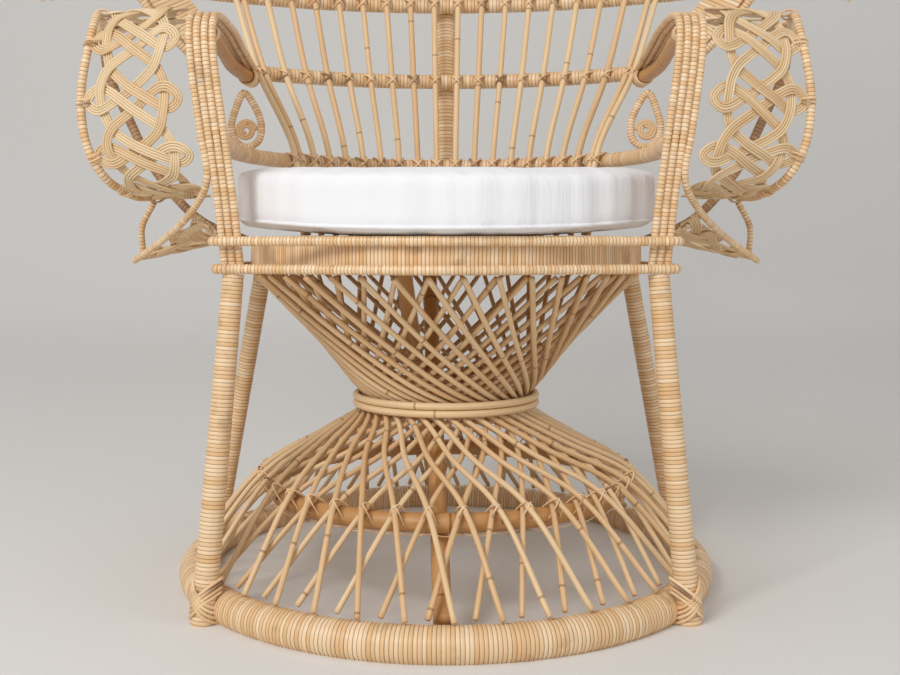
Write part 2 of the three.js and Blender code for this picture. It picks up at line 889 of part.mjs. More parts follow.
function borderStrand(phase, lift) {
  const sweep = 180 + 2 * borderFootAngle;
  const angleAt = (u) => -borderFootAngle + sweep * u;
  const length = radians(sweep) * (fanHalfWidth + borderWidth / 2);
  return strand({
    inner: (u) => fanPoint(angleAt(u), 0),
    outer: (u) => fanPoint(angleAt(u), borderWidth),
    repeats: Math.round(length / strandRepeat),
    phase,
    innerMargin: borderRod / 2 + looseEdge,
    outerMargin: borderRod / 2 + looseEdge + bendSlack,
    lift,
    steps: strandSteps,
  });
}

// Arms

function armCaneAt(index, side) {
  const shift = (index - 1) * armPitch;
  const points = armLineShares.map((share) => armLine(share).add(point(shift, 0, 0)));
  const last = points.length - 1;
  points[last].y = midRailEnd(points[last].x + armCane / 2);
  return cane(side(points), armCane, rodSides);
}

// The depth at which an arm cane meets the front of the mid rail
function midRailEnd(x) {
  const radius = midCurveRadius + ribStandOff;
  const cosine = Math.sqrt(1 - (x / radius) ** 2);
  const front = midRailReach - radius * (1 - cosine);
  return front - (backRailPole / 2 + gap + bendSlack + armCane / 2) / cosine;
}

// The outermost cane leaves the others above the seat and runs out to the tip of the lower wing
function outerArmCane(side) {
  const shift = (armCaneCount - 2) * armPitch;
  const stations = armLineShares.slice(2).map((share) => armLine(share).add(point(shift, 0, 0)));
  stations[stations.length - 1].y = midRailEnd(stations[stations.length - 1].x + armCane / 2);
  const splay = lowerWingEdge();
  return cane(side([...splay.reverse(), ...stations]), armCane, rodSides);
}

function lowerWingEdge() {
  const start = armLineAt(wingSplitHeight).x + (armCaneCount - 2) * armPitch;
  return lowerEdgeShares.map(([out, forward, up]) =>
    point(
      start + out * (wingTipOut - start),
      -armForward + forward * (armForward - wingTipForward),
      wingTipHeight + up * (wingSplitHeight - wingTipHeight),
    ),
  );
}

function wingStations(edge) {
  return wingShares.map(([depth, height, innerOut, outerOut]) => {
    const out = edge === "inner" ? innerOut : outerOut;
    const sweep = edge === "inner" ? 0 : wingSweepShare;
    const span = midRailReach - midRailSag + armForward;
    return point(
      wingOut * out,
      -armForward + (depth + sweep) * span,
      seatRingBottom + height * (armHeight - seatRingBottom),
    );
  });
}

function wingStrand(side, phase, lift) {
  const inner = new Route(side(wingStations("inner")), false, "centripetal");
  const outer = new Route(side(wingStations("outer")), false, "centripetal");
  return strand({
    inner: (u) => inner.getPoint(u),
    outer: (u) => outer.getPoint(u),
    repeats: Math.round(inner.getLength() / strandRepeat),
    phase,
    innerMargin: armCane / 2 + looseEdge,
    outerMargin: wingRod / 2 + looseEdge + wingSlack,
    lift,
    steps: wingStrandSteps,
  });
}

function brace(side) {
  const railOut = seatRingOuter + 2 * railRadius + gap;
  const foot = Math.sqrt(railOut ** 2 - (braceShares[0][1] * armForward) ** 2) + gap;
  const low = seatTop - railRadius - gap;
  const points = braceShares.map(([out, depth, up]) =>
    point(
      foot + out * (wingOut - foot),
      depth * armForward,
      low + up * (armHeight - low),
    ),
  );
  return cane(side(points), braceCane, hoopSides);
}

function lowerWingStrand(side) {
  const edge = lowerWingEdge().slice(1);
  const outer = new Route(side(edge), false, "centripetal");
  const railOut = seatRingOuter + 2 * railRadius + gap;
  const innerPoints = edge.map((p, i) =>
    point(railOut + railRadius, lerp(-lowerInnerForward, lowerInnerBack, i / (edge.length - 1)), seatTop),
  );
  const inner = new Route(side(innerPoints), false, "centripetal");
  return strand({
    inner: (u) => inner.getPoint(u),
    outer: (u) => outer.getPoint(u),
    repeats: lowerWingRepeats,
    phase: -Math.PI / 2,
    innerMargin: looseEdge,
    outerMargin: armCane / 2 + looseEdge + bendSlack,
    lift: 0,
    steps: wingStrandSteps,
  });
}

// The rod along the wing's outer edge runs on as a thin tail to the edge of the lower wing
function wingRodOf(side) {
  const stations = wingStations("outer");
  const edge = lowerWingEdge().at(-2);
  const low = point(edge.x, edge.y, edge.z + armCane / 2 + gap + tailCane * tailSeatShare);
  const high = stations.at(-1);
  const middle = low.clone().lerp(high, 0.5).add(point(tailCane, 0, 0));
  return joined([
    cane(side(stations), wingRod, rodSides, 2),
    cane(side([low, middle, high]), tailCane, rodSides, 2),
  ]);
}

// A scroll stands on the low rail and reaches up to the end of the mid rail
function scroll(side) {
  const steps = Math.round(scrollTurns * scrollSteps);
  const radiusAt = (i) => lerp(scrollCane * scrollStartShare, scrollRadius, i / steps);
  const railTop = lowRailHeight + (lowRailPole / 2) * flatOf(hoopSides);
  const centreHeight = railTop + gap + scrollCane / 2 + radiusAt(scrollSteps);
  const centre = polar(lowRailRadius, scrollAngle, centreHeight);
  const along = polar(1, scrollAngle + 90, 0);
  const points = [];
  for (let i = 0; i <= steps; i += 1) {
    const turn = (-2 * Math.PI * i) / scrollSteps;
    const spot = centre.clone().addScaledVector(along, -radiusAt(i) * Math.sin(turn));
    spot.z -= radiusAt(i) * Math.cos(turn);
    points.push(spot);
  }
  const top = midRailHeight - backRailPole / 2 - gap - scrollCane / 2;
  const last = points[points.length - 1];
  const out = midRailHalfWidth * scrollTopShare;
  const end = point(out, midRailEnd(out) + backRailPole / 2, top);
  points.push(last.clone().lerp(end, scrollBendShare).add(point(scrollRadius, 0, 0)));
  points.push(end);
  return cane(side(points), scrollCane, rodSides);
}

// The pieces, from the floor up

const strandLift = (strandThickness + gap + bendSlack) / 2;
for (const side of [1, -1]) {
  const hand = side > 0 ? "right" : "left";
  const along = side > 0 ? (points) => points : mirrored;
  const frontFoot = polar(baseRingRadius + frontFootStep, side * frontFootAngle, 0);
  const rearFoot = polar(
    baseRingRadius + (baseRingPole + rearLegPole) / 2 + gap,
    side * rearFootAngle,
    0,
  );
  add(`glide_front_${hand}`, glide(frontFoot), colours.plastic);
  add(`glide_rear_${hand}`, glide(rearFoot), colours.plastic);
  add(`leg_front_${hand}`, frontLeg(side), colours.wrapped);
  add(`leg_rear_${hand}`, rearLeg(side), colours.wrapped);
  add(`ribs_${hand}`, ribs(side), colours.pole);
  for (let i = 0; i < armCaneCount - 1; i += 1) {
    add(`arm_cane_${hand}_${i + 1}`, armCaneAt(i, along), colours.wrapped);
  }
  add(`arm_cane_${hand}_${armCaneCount}`, outerArmCane(along), colours.wrapped);
  const lift = strandLift + bendSlack;
  add(`wing_strand_over_${hand}`, wingStrand(along, Math.PI / 2, lift), colours.reed);
  add(`wing_strand_under_${hand}`, wingStrand(along, -Math.PI / 2, -lift), colours.reed);
  add(`wing_rod_${hand}`, wingRodOf(along), colours.wrapped);
  add(`wing_brace_${hand}`, brace(along), colours.wrapped);
  add(`lower_wing_strand_${hand}`, lowerWingStrand(along), colours.reed);
  add(`scroll_${hand}`, scroll(along), colours.pole);
}
add("glide_back", glide(polar(baseRingRadius, 180, 0)), colours.plastic);
add("base_ring", baseRing(), colours.wrapped);
for (const [name, first] of Object.entries(quarters)) {
  add(`lattice_outer_${name}`, latticeQuarter(layers.outer, first), colours.reed);
  add(`lattice_inner_${name}`, latticeQuarter(layers.inner, first), colours.reed);
}
add("inner_hoop", ring(hoopRadius, hoopPole, hoopHeight, hoopSides, caneCount), colours.pole);
add("waist_binding", waistBinding(), colours.pole);
add("inner_strut_front", strut("front"), colours.pole);
add("inner_strut_back", strut("back"), colours.pole);
add("seat_ring", seatRing(), colours.wrapped);
add("seat_rail_lower", seatRail(seatRingBottom + railRadius), colours.wrapped);
add("seat_rail_upper", seatRail(seatTop - railRadius - gap), colours.wrapped);
add("seat_deck", deck(), colours.pole);
add("cushion", cushion(), colours.cotton);
add("low_rail", lowRail(), colours.wrapped);
add("mid_rail", backRail(midRailHeight, midRailHalfWidth), colours.wrapped);
for (const [name, height] of [
  ["upper_rail", upperRailHeight],
  ["third_rail", thirdRailHeight],
  ["fourth_rail", fourthRailHeight],
]) {
  const up = (height - fanCentreHeight) / (fanHalfHeight + bandInner);
  const reach = (fanHalfWidth + bandInner) * Math.sqrt(1 - up * up) + archBandWidth / 2;
  add(name, backRail(height, reach), colours.wrapped);
}
add("centre_post", post(), colours.wrapped);
add("arch_band", archBand(), colours.wrapped);
add("border_rod_inner", fanRod(0, fanFootAngle, borderRod), colours.wrapped);
add("border_rod_outer", fanRod(borderWidth, borderFootAngle, borderRod), colours.wrapped);
add("border_strand_over", borderStrand(Math.PI / 2, strandLift), colours.reed);
add("border_strand_under", borderStrand(-Math.PI / 2, -strandLift), colours.reed);

// The middle of the box stands on the origin
const box = new THREE.Box3().setFromObject(chair);
const middle = box.getCenter(new THREE.Vector3());
chair.position.set(-middle.x, -middle.y, -box.min.z);

export default chair;
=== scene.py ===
# %% [markdown]
# A peacock chair is woven by hand from rattan. Thick poles make the ring on the floor, the legs and the
# rails, and thin canes make the lattice and the fan. Nearly every pole is wrapped with split peel, which
# is the shiny skin of the plant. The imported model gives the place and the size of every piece, so its
# measures are repeated below as named values, or read from its boxes. This script makes the surfaces
# that the eye sees. All lengths are in metres and all angles in degrees.

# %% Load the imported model
import math
import random

import bmesh
import bpy
import numpy as np
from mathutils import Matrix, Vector


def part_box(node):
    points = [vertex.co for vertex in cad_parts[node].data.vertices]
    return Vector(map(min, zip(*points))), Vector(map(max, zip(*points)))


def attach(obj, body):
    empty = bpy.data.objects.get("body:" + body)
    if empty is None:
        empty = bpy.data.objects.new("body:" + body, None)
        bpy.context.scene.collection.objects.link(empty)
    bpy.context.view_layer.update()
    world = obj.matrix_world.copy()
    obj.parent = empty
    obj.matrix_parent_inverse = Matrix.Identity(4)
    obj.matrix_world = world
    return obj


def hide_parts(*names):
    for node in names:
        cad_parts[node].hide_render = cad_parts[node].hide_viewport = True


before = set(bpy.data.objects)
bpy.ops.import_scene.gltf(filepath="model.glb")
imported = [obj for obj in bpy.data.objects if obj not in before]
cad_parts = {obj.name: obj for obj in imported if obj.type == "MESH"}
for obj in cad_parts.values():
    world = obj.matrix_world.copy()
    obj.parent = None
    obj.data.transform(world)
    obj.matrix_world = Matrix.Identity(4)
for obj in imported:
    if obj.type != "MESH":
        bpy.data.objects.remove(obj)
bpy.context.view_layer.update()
chance = random.Random(11)

# %% [markdown]
# The photograph was taken from the front, about a metre from the seat, with the camera level and a little
# above the cushion. The film is shifted down, so that upright poles stay upright. Nothing here follows
# the camera, and every other view moves it freely.

# %% Camera at the photograph's place
ring_low, ring_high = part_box("base_ring")
axis_y = (ring_low.y + ring_high.y) / 2
camera_distance = 1.2495
camera_height = 0.381
camera_lens = 43.2
camera_shift_x = 0.0044
camera_shift_y = -0.105

camera_data = bpy.data.cameras.new("camera")
camera_data.lens = camera_lens
camera_data.sensor_width = 36
camera_data.shift_x = camera_shift_x
camera_data.shift_y = camera_shift_y
camera = bpy.data.objects.new("camera", camera_data)
camera.location = (0, axis_y - camera_distance, camera_height)
camera.rotation_euler = (math.radians(90), 0, 0)
bpy.context.scene.collection.objects.link(camera)
bpy.context.scene.camera = camera
print("camera", [round(v, 3) for v in camera.location])

# %% [markdown]
# Colours are written as they look on a screen, in hex, and a shader wants them linear. One function turns
# them. A second one adds a node to a material, with its settings and its links, and gives back the output
# that the next node needs, so that each material below reads as a list of steps.


# %% Colours and nodes
def linear(code):
    values = [int(code[i : i + 2], 16) / 255 for i in (1, 3, 5)]
    return [v / 12.92 if v <= 0.04045 else ((v + 0.055) / 1.055) ** 2.4 for v in values] + [1.0]


def add_node(tree, kind, inputs=None, output=0, **settings):
    made = tree.nodes.new("ShaderNode" + kind)
    for key, value in settings.items():
        setattr(made, key, value)
    for key, value in (inputs or {}).items():
        if isinstance(value, bpy.types.NodeSocket):
            tree.links.new(value, made.inputs[key])
        else:
            made.inputs[key].default_value = value
    return made.outputs[output]


def new_material(name, roughness, specular=0.5):
    material = bpy.data.materials.new(name)
    material.use_nodes = True
    shader = material.node_tree.nodes["Principled BSDF"]
    shader.inputs["Roughness"].default_value = roughness
    shader.inputs["Specular IOR Level"].default_value = specular
    return material, material.node_tree, shader


print("a mid grey in linear light", [round(v, 3) for v in linear("#808080")])

# %% [markdown]
# Rattan peel is the skin of the plant, split into strips about 4 mm wide and wound round a pole while
# wet. The strips keep the plant's waxy gloss. Each has its own tone, the seams between them are drawn
# dark as painted shade, for the shade that falls in the narrow groove where two turns meet, and fine
# fibres about 1 mm apart run along the strip, so round the pole. A picture of a wrapping would repeat and
# stretch, so the pattern is counted instead: every wrapped piece carries an attribute that counts its
# turns, from which the material finds the strip and the seam. Stains about 30 mm apart break up the tone,
# in the same dark colour as the seams. Aged peel is the same skin, darker partly from age and hands and
# partly as painted shade, because the braces that carry it stand in shadow behind the wing's weave.

# %% Rattan peel, split and wound
peel_roughness = 0.42
# how wide and how dark the painted shade along each seam between turns is
seam_shade_start, seam_shade_end = 0.02, 0.13
seam_shade_strength = 0.8
strip_spread = 0.7
fibres_per_metre = 900
fibre_stretch = 10
fibre_strength = 0.3
fibre_depth = 0.0003
stains_per_metre = 34.0
stain_start, stain_end = 0.6, 0.74
stain_strength = 0.35
bump_strength = 0.5


def wound_peel(name, pale, deep, seam):
    material, tree, shader = new_material(name, peel_roughness)
    turns = add_node(tree, "Attribute", output="Fac", attribute_name="turns")
    tone = add_node(tree, "Attribute", output="Fac", attribute_name="tone")
    grain = add_node(tree, "Attribute", output="Vector", attribute_name="grain")
    place_socket = add_node(tree, "TexCoord", output="Object")
    colour = {"output": 2, "data_type": "RGBA"}

    strip = add_node(tree, "Math", {0: turns}, operation="FLOOR")
    number = add_node(tree, "Math", {0: strip, 1: tone}, operation="ADD")
    strip_tone = add_node(tree, "TexWhiteNoise", {"W": number}, noise_dimensions="1D")
    spread = add_node(tree, "MapRange", {"Value": strip_tone, "To Max": strip_spread})
    toned = add_node(tree, "Mix", {0: spread, 6: linear(pale), 7: linear(deep)}, **colour)

    across, along = fibres_per_metre, fibres_per_metre / fibre_stretch
    stretched = add_node(tree, "Mapping", {"Vector": grain, "Scale": (across, along, along)})
    fibre = add_node(tree, "TexNoise", {"Vector": stretched, "Scale": 1.0, "Detail": 3.0})
    fibre_share = add_node(tree, "Math", {0: fibre, 1: fibre_strength}, operation="MULTIPLY")
    grained = add_node(tree, "Mix", {0: fibre_share, 6: toned, 7: linear(deep)}, **colour)

    stain = add_node(tree, "TexNoise", {"Vector": place_socket, "Scale": stains_per_metre, "Detail": 4.0})
    spots = add_node(tree, "MapRange", {"Value": stain, "From Min": stain_start, "From Max": stain_end})
    spot_share = add_node(tree, "Math", {0: spots, 1: stain_strength}, operation="MULTIPLY")
    spotted = add_node(tree, "Mix", {0: spot_share, 6: grained, 7: linear(seam)}, **colour)

    # Painted shade: both edges of each strip are darkened towards the seam colour, standing in for the
    # shade in the groove between turns. The same colour serves the real stains above.
    through_strip = add_node(tree, "Math", {0: turns}, operation="FRACT")
    edge = add_node(tree, "Math", {0: through_strip, 1: 1.0}, operation="PINGPONG")
    folded = add_node(tree, "Math", {0: edge, 1: 0.5}, operation="PINGPONG")
    limits = {"Value": folded, "From Min": seam_shade_start, "From Max": seam_shade_end, "To Min": 1.0, "To Max": 0.0}
    painted_seam_shade = add_node(tree, "MapRange", limits)
    seam_shade_share = add_node(tree, "Math", {0: painted_seam_shade, 1: seam_shade_strength}, operation="MULTIPLY")
    seam_shaded = add_node(tree, "Mix", {0: seam_shade_share, 6: spotted, 7: linear(seam)}, **colour)
    tree.links.new(seam_shaded, shader.inputs["Base Color"])

    relief = {"Height": fibre, "Distance": fibre_depth, "Strength": bump_strength}
    tree.links.new(add_node(tree, "Bump", relief), shader.inputs["Normal"])
    print(name, len(tree.nodes), "nodes")
    return material


peel = wound_peel("rattan peel, wound", "#f9e0bb", "#dca868", "#6a421f")
# The aged peel's darker colours are partly its age and partly painted shade, for the braces that stand in
# shadow behind the wing's weave.
aged_and_shaded_peel = wound_peel("rattan peel, aged and shaded", "#bb9167", "#8f6843", "#513420")

# %% [markdown]
# A bare pole or cane keeps its round shape and shows long streaks along its length. Every hand's width it
# has a joint, where a leaf grew, with a thin dark line. Reed is the same plant's core, pressed through a
# die: paler, drier and full of fine straight fibres. One function makes all three, from other numbers.
# The streaks are 45 times as long as they are wide, and soft clouds about 70 mm apart keep two canes from
# looking alike.

# %% Bare rattan and reed
bare_specular = 0.4
streak_stretch = 45
streak_start, streak_end, streak_strength = 0.35, 0.7, 0.6
streak_dark, streak_rich = 0.78, 1.1
streak_depth = 0.0004
clouds_per_metre = 14.0
cloud_share, cane_share = 0.35, 0.5
joint_share = 0.012
joint_line = "#7a5228"


def bare_rattan(name, pale, deep, roughness, streaks, joints):
    material, tree, shader = new_material(name, roughness, bare_specular)
    turns = add_node(tree, "Attribute", output="Fac", attribute_name="turns")
    tone = add_node(tree, "Attribute", output="Fac", attribute_name="tone")
    grain = add_node(tree, "Attribute", output="Vector", attribute_name="grain")
    place_socket = add_node(tree, "TexCoord", output="Object")
    colour = {"output": 2, "data_type": "RGBA"}

    cloud = add_node(tree, "TexNoise", {"Vector": place_socket, "Scale": clouds_per_metre, "Detail": 2.0})
    own = add_node(tree, "Math", {0: tone, 1: cane_share}, operation="MULTIPLY")
    mixed = add_node(tree, "Math", {0: cloud, 1: cloud_share, 2: own}, operation="MULTIPLY_ADD")
    toned = add_node(tree, "Mix", {0: mixed, 6: linear(pale), 7: linear(deep)}, **colour)

    scale = (streaks / streak_stretch, streaks, streaks)
    stretched = add_node(tree, "Mapping", {"Vector": grain, "Scale": scale})
    fibre = add_node(tree, "TexNoise", {"Vector": stretched, "Scale": 1.0, "Detail": 4.0})
    limits = {"Value": fibre, "From Min": streak_start, "From Max": streak_end, "To Max": streak_strength}
    streak = add_node(tree, "MapRange", limits)
    shade = {"Color": toned, "Value": streak_dark, "Saturation": streak_rich}
    darker = add_node(tree, "HueSaturation", shade)
    streaked = add_node(tree, "Mix", {0: streak, 6: toned, 7: darker}, **colour)

    along = add_node(tree, "Math", {0: turns}, operation="FRACT")
    line = add_node(tree, "Math", {0: along, 1: joint_share}, operation="LESS_THAN")
    line_share = add_node(tree, "Math", {0: line, 1: joints}, operation="MULTIPLY")
    marked = add_node(tree, "Mix", {0: line_share, 6: streaked, 7: linear(joint_line)}, **colour)
    tree.links.new(marked, shader.inputs["Base Color"])

    relief = {"Height": fibre, "Distance": streak_depth, "Strength": bump_strength}
    tree.links.new(add_node(tree, "Bump", relief), shader.inputs["Normal"])
    print(name, len(tree.nodes), "nodes")
    return material


pole = bare_rattan("rattan pole, bare", "#dcab74", "#a9733f", 0.42, 700, 0.7)
thin_cane = bare_rattan("rattan cane, bare", "#f5dab0", "#d6a570", 0.46, 900, 0.55)
reed = bare_rattan("rattan reed", "#f5e0bb", "#d8ae79", 0.55, 1200, 0.0)

# %% [markdown]
# The cushion's cover is undyed cotton canvas, a plain weave of about 20 threads to the centimetre. That
# is finer than a pixel here, so the threads are drawn 1 mm apart. Three sets of waves, one along each
# axis, show as crossing threads on every side of the cushion. Long upright creases, about 10 mm wide and
# 110 mm high, come from a stretched noise.

# %% Cotton canvas
thread_step = 0.001
wave_turn = 6.283
canvas_roughness, canvas_specular, canvas_sheen = 0.95, 0.2, 0.25
thread_waver = 0.6
thread_depth = 0.0002
crease_scale = (95.0, 95.0, 9.0)
fold_depth = 0.004
cloth_clouds_per_metre = 9.0
cloth_strength = 0.35


def cotton_canvas(name):
    material, tree, shader = new_material(name, canvas_roughness, canvas_specular)
    shader.inputs["Sheen Weight"].default_value = canvas_sheen
    place_socket = add_node(tree, "TexCoord", output="Object")
    threads = {"Vector": place_socket, "Scale": 1 / (thread_step * wave_turn), "Distortion": thread_waver}
    warp, weft, rise = (add_node(tree, "TexWave", threads, "Fac", bands_direction=axis) for axis in "XYZ")
    crossed = add_node(tree, "Math", {0: warp, 1: weft}, operation="ADD")
    weave = add_node(tree, "Math", {0: crossed, 1: rise}, operation="ADD")

    spread = {"Vector": place_socket, "Scale": cloth_clouds_per_metre, "Detail": 3.0}
    cloud = add_node(tree, "TexNoise", spread)
    shades = {0: cloud, 6: linear("#f8f8fa"), 7: linear("#ecebed")}
    tree.links.new(add_node(tree, "Mix", shades, 2, data_type="RGBA"), shader.inputs["Base Color"])

    upright = add_node(tree, "Mapping", {"Vector": place_socket, "Scale": crease_scale})
    crease = add_node(tree, "TexNoise", {"Vector": upright, "Scale": 1.0, "Detail": 2.0})
    folds = add_node(tree, "Bump", {"Height": crease, "Distance": fold_depth, "Strength": cloth_strength})
    relief = {"Height": weave, "Distance": thread_depth, "Strength": cloth_strength, "Normal": folds}
    tree.links.new(add_node(tree, "Bump", relief), shader.inputs["Normal"])
    print(name, len(tree.nodes), "nodes")
    return material


cotton = cotton_canvas("cotton canvas")

# %% [markdown]
# The feet stand on glides of moulded white polythene. It is a soft, waxy plastic, so it is a little
# glossy and quickly gets fine scuffs, which are drawn here as spots about 5 mm apart.

# %% Moulded polythene
scuffs_per_metre = 220.0


def moulded_polythene(name):
    material, tree, shader = new_material(name, roughness=0.4)
    place_socket = add_node(tree, "TexCoord", output="Object")
    scuff = add_node(tree, "TexNoise", {"Vector": place_socket, "Scale": scuffs_per_metre, "Detail": 3.0})
    shades = {0: scuff, 6: linear("#eeeeea"), 7: linear("#d2d1cb")}
    tree.links.new(add_node(tree, "Mix", shades, 2, data_type="RGBA"), shader.inputs["Base Color"])
    print(name, len(tree.nodes), "nodes")
    return material


polythene = moulded_polythene("moulded polythene")

# %% [markdown]
# Every pole, cane, rod and reed is a round section that follows a line. The line could be a Bezier curve
# with handles, but then each handle is one more thing to place. A smooth line that is worked out through
# a few stations needs only the stations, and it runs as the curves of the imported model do.


# %% Lines to follow
def polar(radius, degrees, z):
    """A place at an angle round the chair's axis, from the front towards +X."""
    angle = math.radians(degrees)
    return (radius * math.sin(angle), axis_y - radius * math.cos(angle), z)


def circle(radius, z, steps=240):
    return np.array([polar(radius, 360 * i / steps, z) for i in range(steps + 1)])


def through(points, per_span=16):
    """A smooth line through the points, with a number of steps from each to the next."""
    p = np.array(points, float)
    p = np.vstack([2 * p[0] - p[1], p, 2 * p[-1] - p[-2]])
    line = []
    for i in range(1, len(p) - 2):
        d0, d1, d2 = (max(np.linalg.norm(p[k + 1] - p[k]) ** 0.5, 1e-4) for k in (i - 1, i, i + 1))
        t1 = ((p[i] - p[i - 1]) / d0 - (p[i + 1] - p[i - 1]) / (d0 + d1) + (p[i + 1] - p[i]) / d1) * d1
        t2 = ((p[i + 1] - p[i]) / d1 - (p[i + 2] - p[i]) / (d1 + d2) + (p[i + 2] - p[i + 1]) / d2) * d1
        for t in np.arange(per_span) / per_span:
            cubic = (2 * p[i] - 2 * p[i + 1] + t1 + t2) * t**3
            square = (-3 * p[i] + 3 * p[i + 1] - 2 * t1 - t2) * t**2
            line.append(cubic + square + t1 * t + p[i])
    line.append(p[-2])
    return np.array(line)


def lengths_of(line):
    return np.concatenate([[0], np.cumsum(np.linalg.norm(np.diff(line, axis=0), axis=1))])


def at_lengths(line, wanted):
    along = lengths_of(line)
    return np.stack([np.interp(wanted, along, line[:, k]) for k in range(3)], axis=1)


def turned_left(points, side):
    """The same points for the left hand, where side is -1."""
    return np.array(points) * np.array([side, 1, 1])


def unit(vectors):
    return vectors / np.maximum(np.linalg.norm(vectors, axis=-1, keepdims=True), 1e-9)


print("a circle of 1 m across is", round(float(lengths_of(circle(0.5, 0))[-1]), 3), "m long")

# %% [markdown]
# What tells a wrapped pole from a bare one is its outline. Where two turns of peel meet, the wrapping
# dips, and a cane swells a little at each joint. Both are written into the radius at each point of the
# line, so that the shape itself shows them, and the material adds colour, with painted shade along the
# seams. No two turns are wound equally tight, which a small wobble gives.

# %% Sections along a line
seam_depth = 0.055
seam_depth_share = 0.35
wound_phases = np.array([0.0, 0.14, 0.5, 0.86])
wound_wobble = 0.012
joint_swell = 0.05
joint_length = 0.004
joint_step = 0.21


def wound(line, diameter, strip, end_diameter=None):
    """A pole wrapped with strips of peel: the radius dips at each seam."""
    line = np.array(line, float)
    total = lengths_of(line)[-1]
    count = max(2, round(total / strip))
    turns = (np.arange(count)[:, None] + wound_phases[None, :]).ravel()
    turns = np.append(turns, count)
    share = turns / count
    radius = (diameter + ((end_diameter or diameter) - diameter) * share) / 2
    depth = seam_depth * min(1, strip / diameter + seam_depth_share)
    dips = np.where(np.isclose(turns % 1, 0), depth, 0)
    wobble = np.array([chance.uniform(-wound_wobble, wound_wobble) for _ in range(count + 1)])
    radius = radius * (1 - dips + wobble[np.minimum(turns.astype(int), count)])
    return {"line": at_lengths(line, share * total), "radius": radius, "turns": turns}


def bare(line, diameter, step=0.008, end_diameter=None):
    """A bare cane: it swells a little at each joint and may be thinner towards its tip."""
    line = np.array(line, float)
    total = lengths_of(line)[-1]
    count = max(2, round(total / step))
    along = np.linspace(0, total, count + 1)
    turns = along / joint_step + chance.random()
    near = np.exp(-(((turns + 0.5) % 1 - 0.5) * joint_step / joint_length) ** 2)
    share = along / total
    radius = (diameter + ((end_diameter or diameter) - diameter) * share) / 2
    return {"line": at_lengths(line, along), "radius": radius * (1 + joint_swell * near), "turns": turns}


print("a seam dips to", 1 - seam_depth, "of the radius, a joint swells to", 1 + joint_swell)

# %% [markdown]
# A curve with a bevel turns such a line into a rod: it carries the round section along and takes the
# radius of each point. The curve becomes a mesh at once, so that the ends can be closed and the
# attributes that the materials read can be written on its points: how far along and round the rod a point
# lies, which turn it is on, and a tone of its own for each rod.


# %% Rods from sections
def write_attributes(mesh, grain, turns, tones):
    mesh.attributes.new("grain", "FLOAT_VECTOR", "POINT").data.foreach_set("vector", grain.ravel())
    mesh.attributes.new("turns", "FLOAT", "POINT").data.foreach_set("value", turns)
    mesh.attributes.new("tone", "FLOAT", "POINT").data.foreach_set("value", tones)


def rod_mesh(name, rods, sides=8, closed=False):
    """One mesh of many round rods, with what the materials read written on its points."""
    curve = bpy.data.curves.new(name, "CURVE")
    curve.dimensions = "3D"
    curve.bevel_depth = 1.0
    curve.bevel_resolution = (sides - 4) // 2
    grain, turns, tones = [], [], []
    around = np.arange(sides) * 2 * math.pi / sides
    for rod in rods:
        line = rod["line"][:-1] if closed else rod["line"]
        count = len(line)
        spline = curve.splines.new("POLY")
        spline.points.add(count - 1)
        spline.points.foreach_set("co", np.hstack([line, np.ones((count, 1))]).ravel())
        spline.points.foreach_set("radius", rod["radius"][:count])
        spline.use_cyclic_u = closed
        along = lengths_of(line) + chance.uniform(0, 9)
        for k in range(count):
            size = rod["radius"][k]
            ring = [np.full(sides, along[k]), size * np.cos(around), size * np.sin(around)]
            grain.append(np.stack(ring, axis=1))
        turns.append(np.repeat(rod["turns"][:count], sides))
        tones.append(np.full(count * sides, chance.random()))
    maker = bpy.data.objects.new(name + "_line", curve)
    bpy.context.scene.collection.objects.link(maker)
    graph = bpy.context.evaluated_depsgraph_get()
    mesh = bpy.data.meshes.new_from_object(maker.evaluated_get(graph))
    mesh.name = name
    bpy.data.objects.remove(maker)
    write_attributes(mesh, np.concatenate(grain), np.concatenate(turns), np.concatenate(tones))
    shell = bmesh.new()
    shell.from_mesh(mesh)
    open_edges = [e for e in shell.edges if e.is_boundary]
    bmesh.ops.holes_fill(shell, edges=open_edges, sides=0)
    bmesh.ops.recalc_face_normals(shell, faces=shell.faces)
    shell.to_mesh(mesh)
    shell.free()
    mesh.shade_smooth()
    return mesh


def place(name, mesh, material, replaced=(), body="frame"):
    """Puts a finished mesh on its body, with its material, and hides the solids that it stands for."""
    mesh.materials.clear()
    mesh.materials.append(material)
    piece = bpy.data.objects.new(name, mesh)
    bpy.context.scene.collection.objects.link(piece)
    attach(piece, body)
    if replaced:
        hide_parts(*replaced)
    print(name, len(mesh.polygons), "faces")
    return piece


def place_rods(name, rods, sides, material, replaced=(), closed=False):
    """Rods made one mesh and placed."""
    return place(name, rod_mesh(name, rods, sides, closed), material, replaced)


# %% [markdown]
# The ring on the floor is the thickest pole, bent to a circle over steam and wrapped all round. A torus
# would give its shape, but not its turns of peel, so it is a closed rod like all the others.

# %% Base ring
hands = {"right": 1, "left": -1}
ring_radius = 0.282
ring_pole = 0.035
ring_height = (ring_low.z + ring_high.z) / 2
ring_strip = 0.0040

ring_rod = wound(circle(ring_radius, ring_height), ring_pole, ring_strip)
place_rods("wrapped_base_ring", [ring_rod], 14, peel, ["base_ring"], closed=True)

# %% [markdown]
# Four straight poles carry the seat. The front pair stands in notches of the ring and thins towards the
# top, the rear pair stands behind it. Each is wrapped from its foot to the seat, so it is a rod between
# two points.

# %% Legs
leg_strip = 0.0040
# the front feet and tops: sideways and back of the axis; the rear ones: radius and angle
front_foot = (0.239, -0.189)
front_top = (0.213, -0.168)
front_poles = (0.025, 0.0215)
leg_top_height = 0.3497
leg_foot_height = 0.0043
rear_foot = (0.3103, 111)
rear_top = (0.235, 108)
rear_pole = 0.021

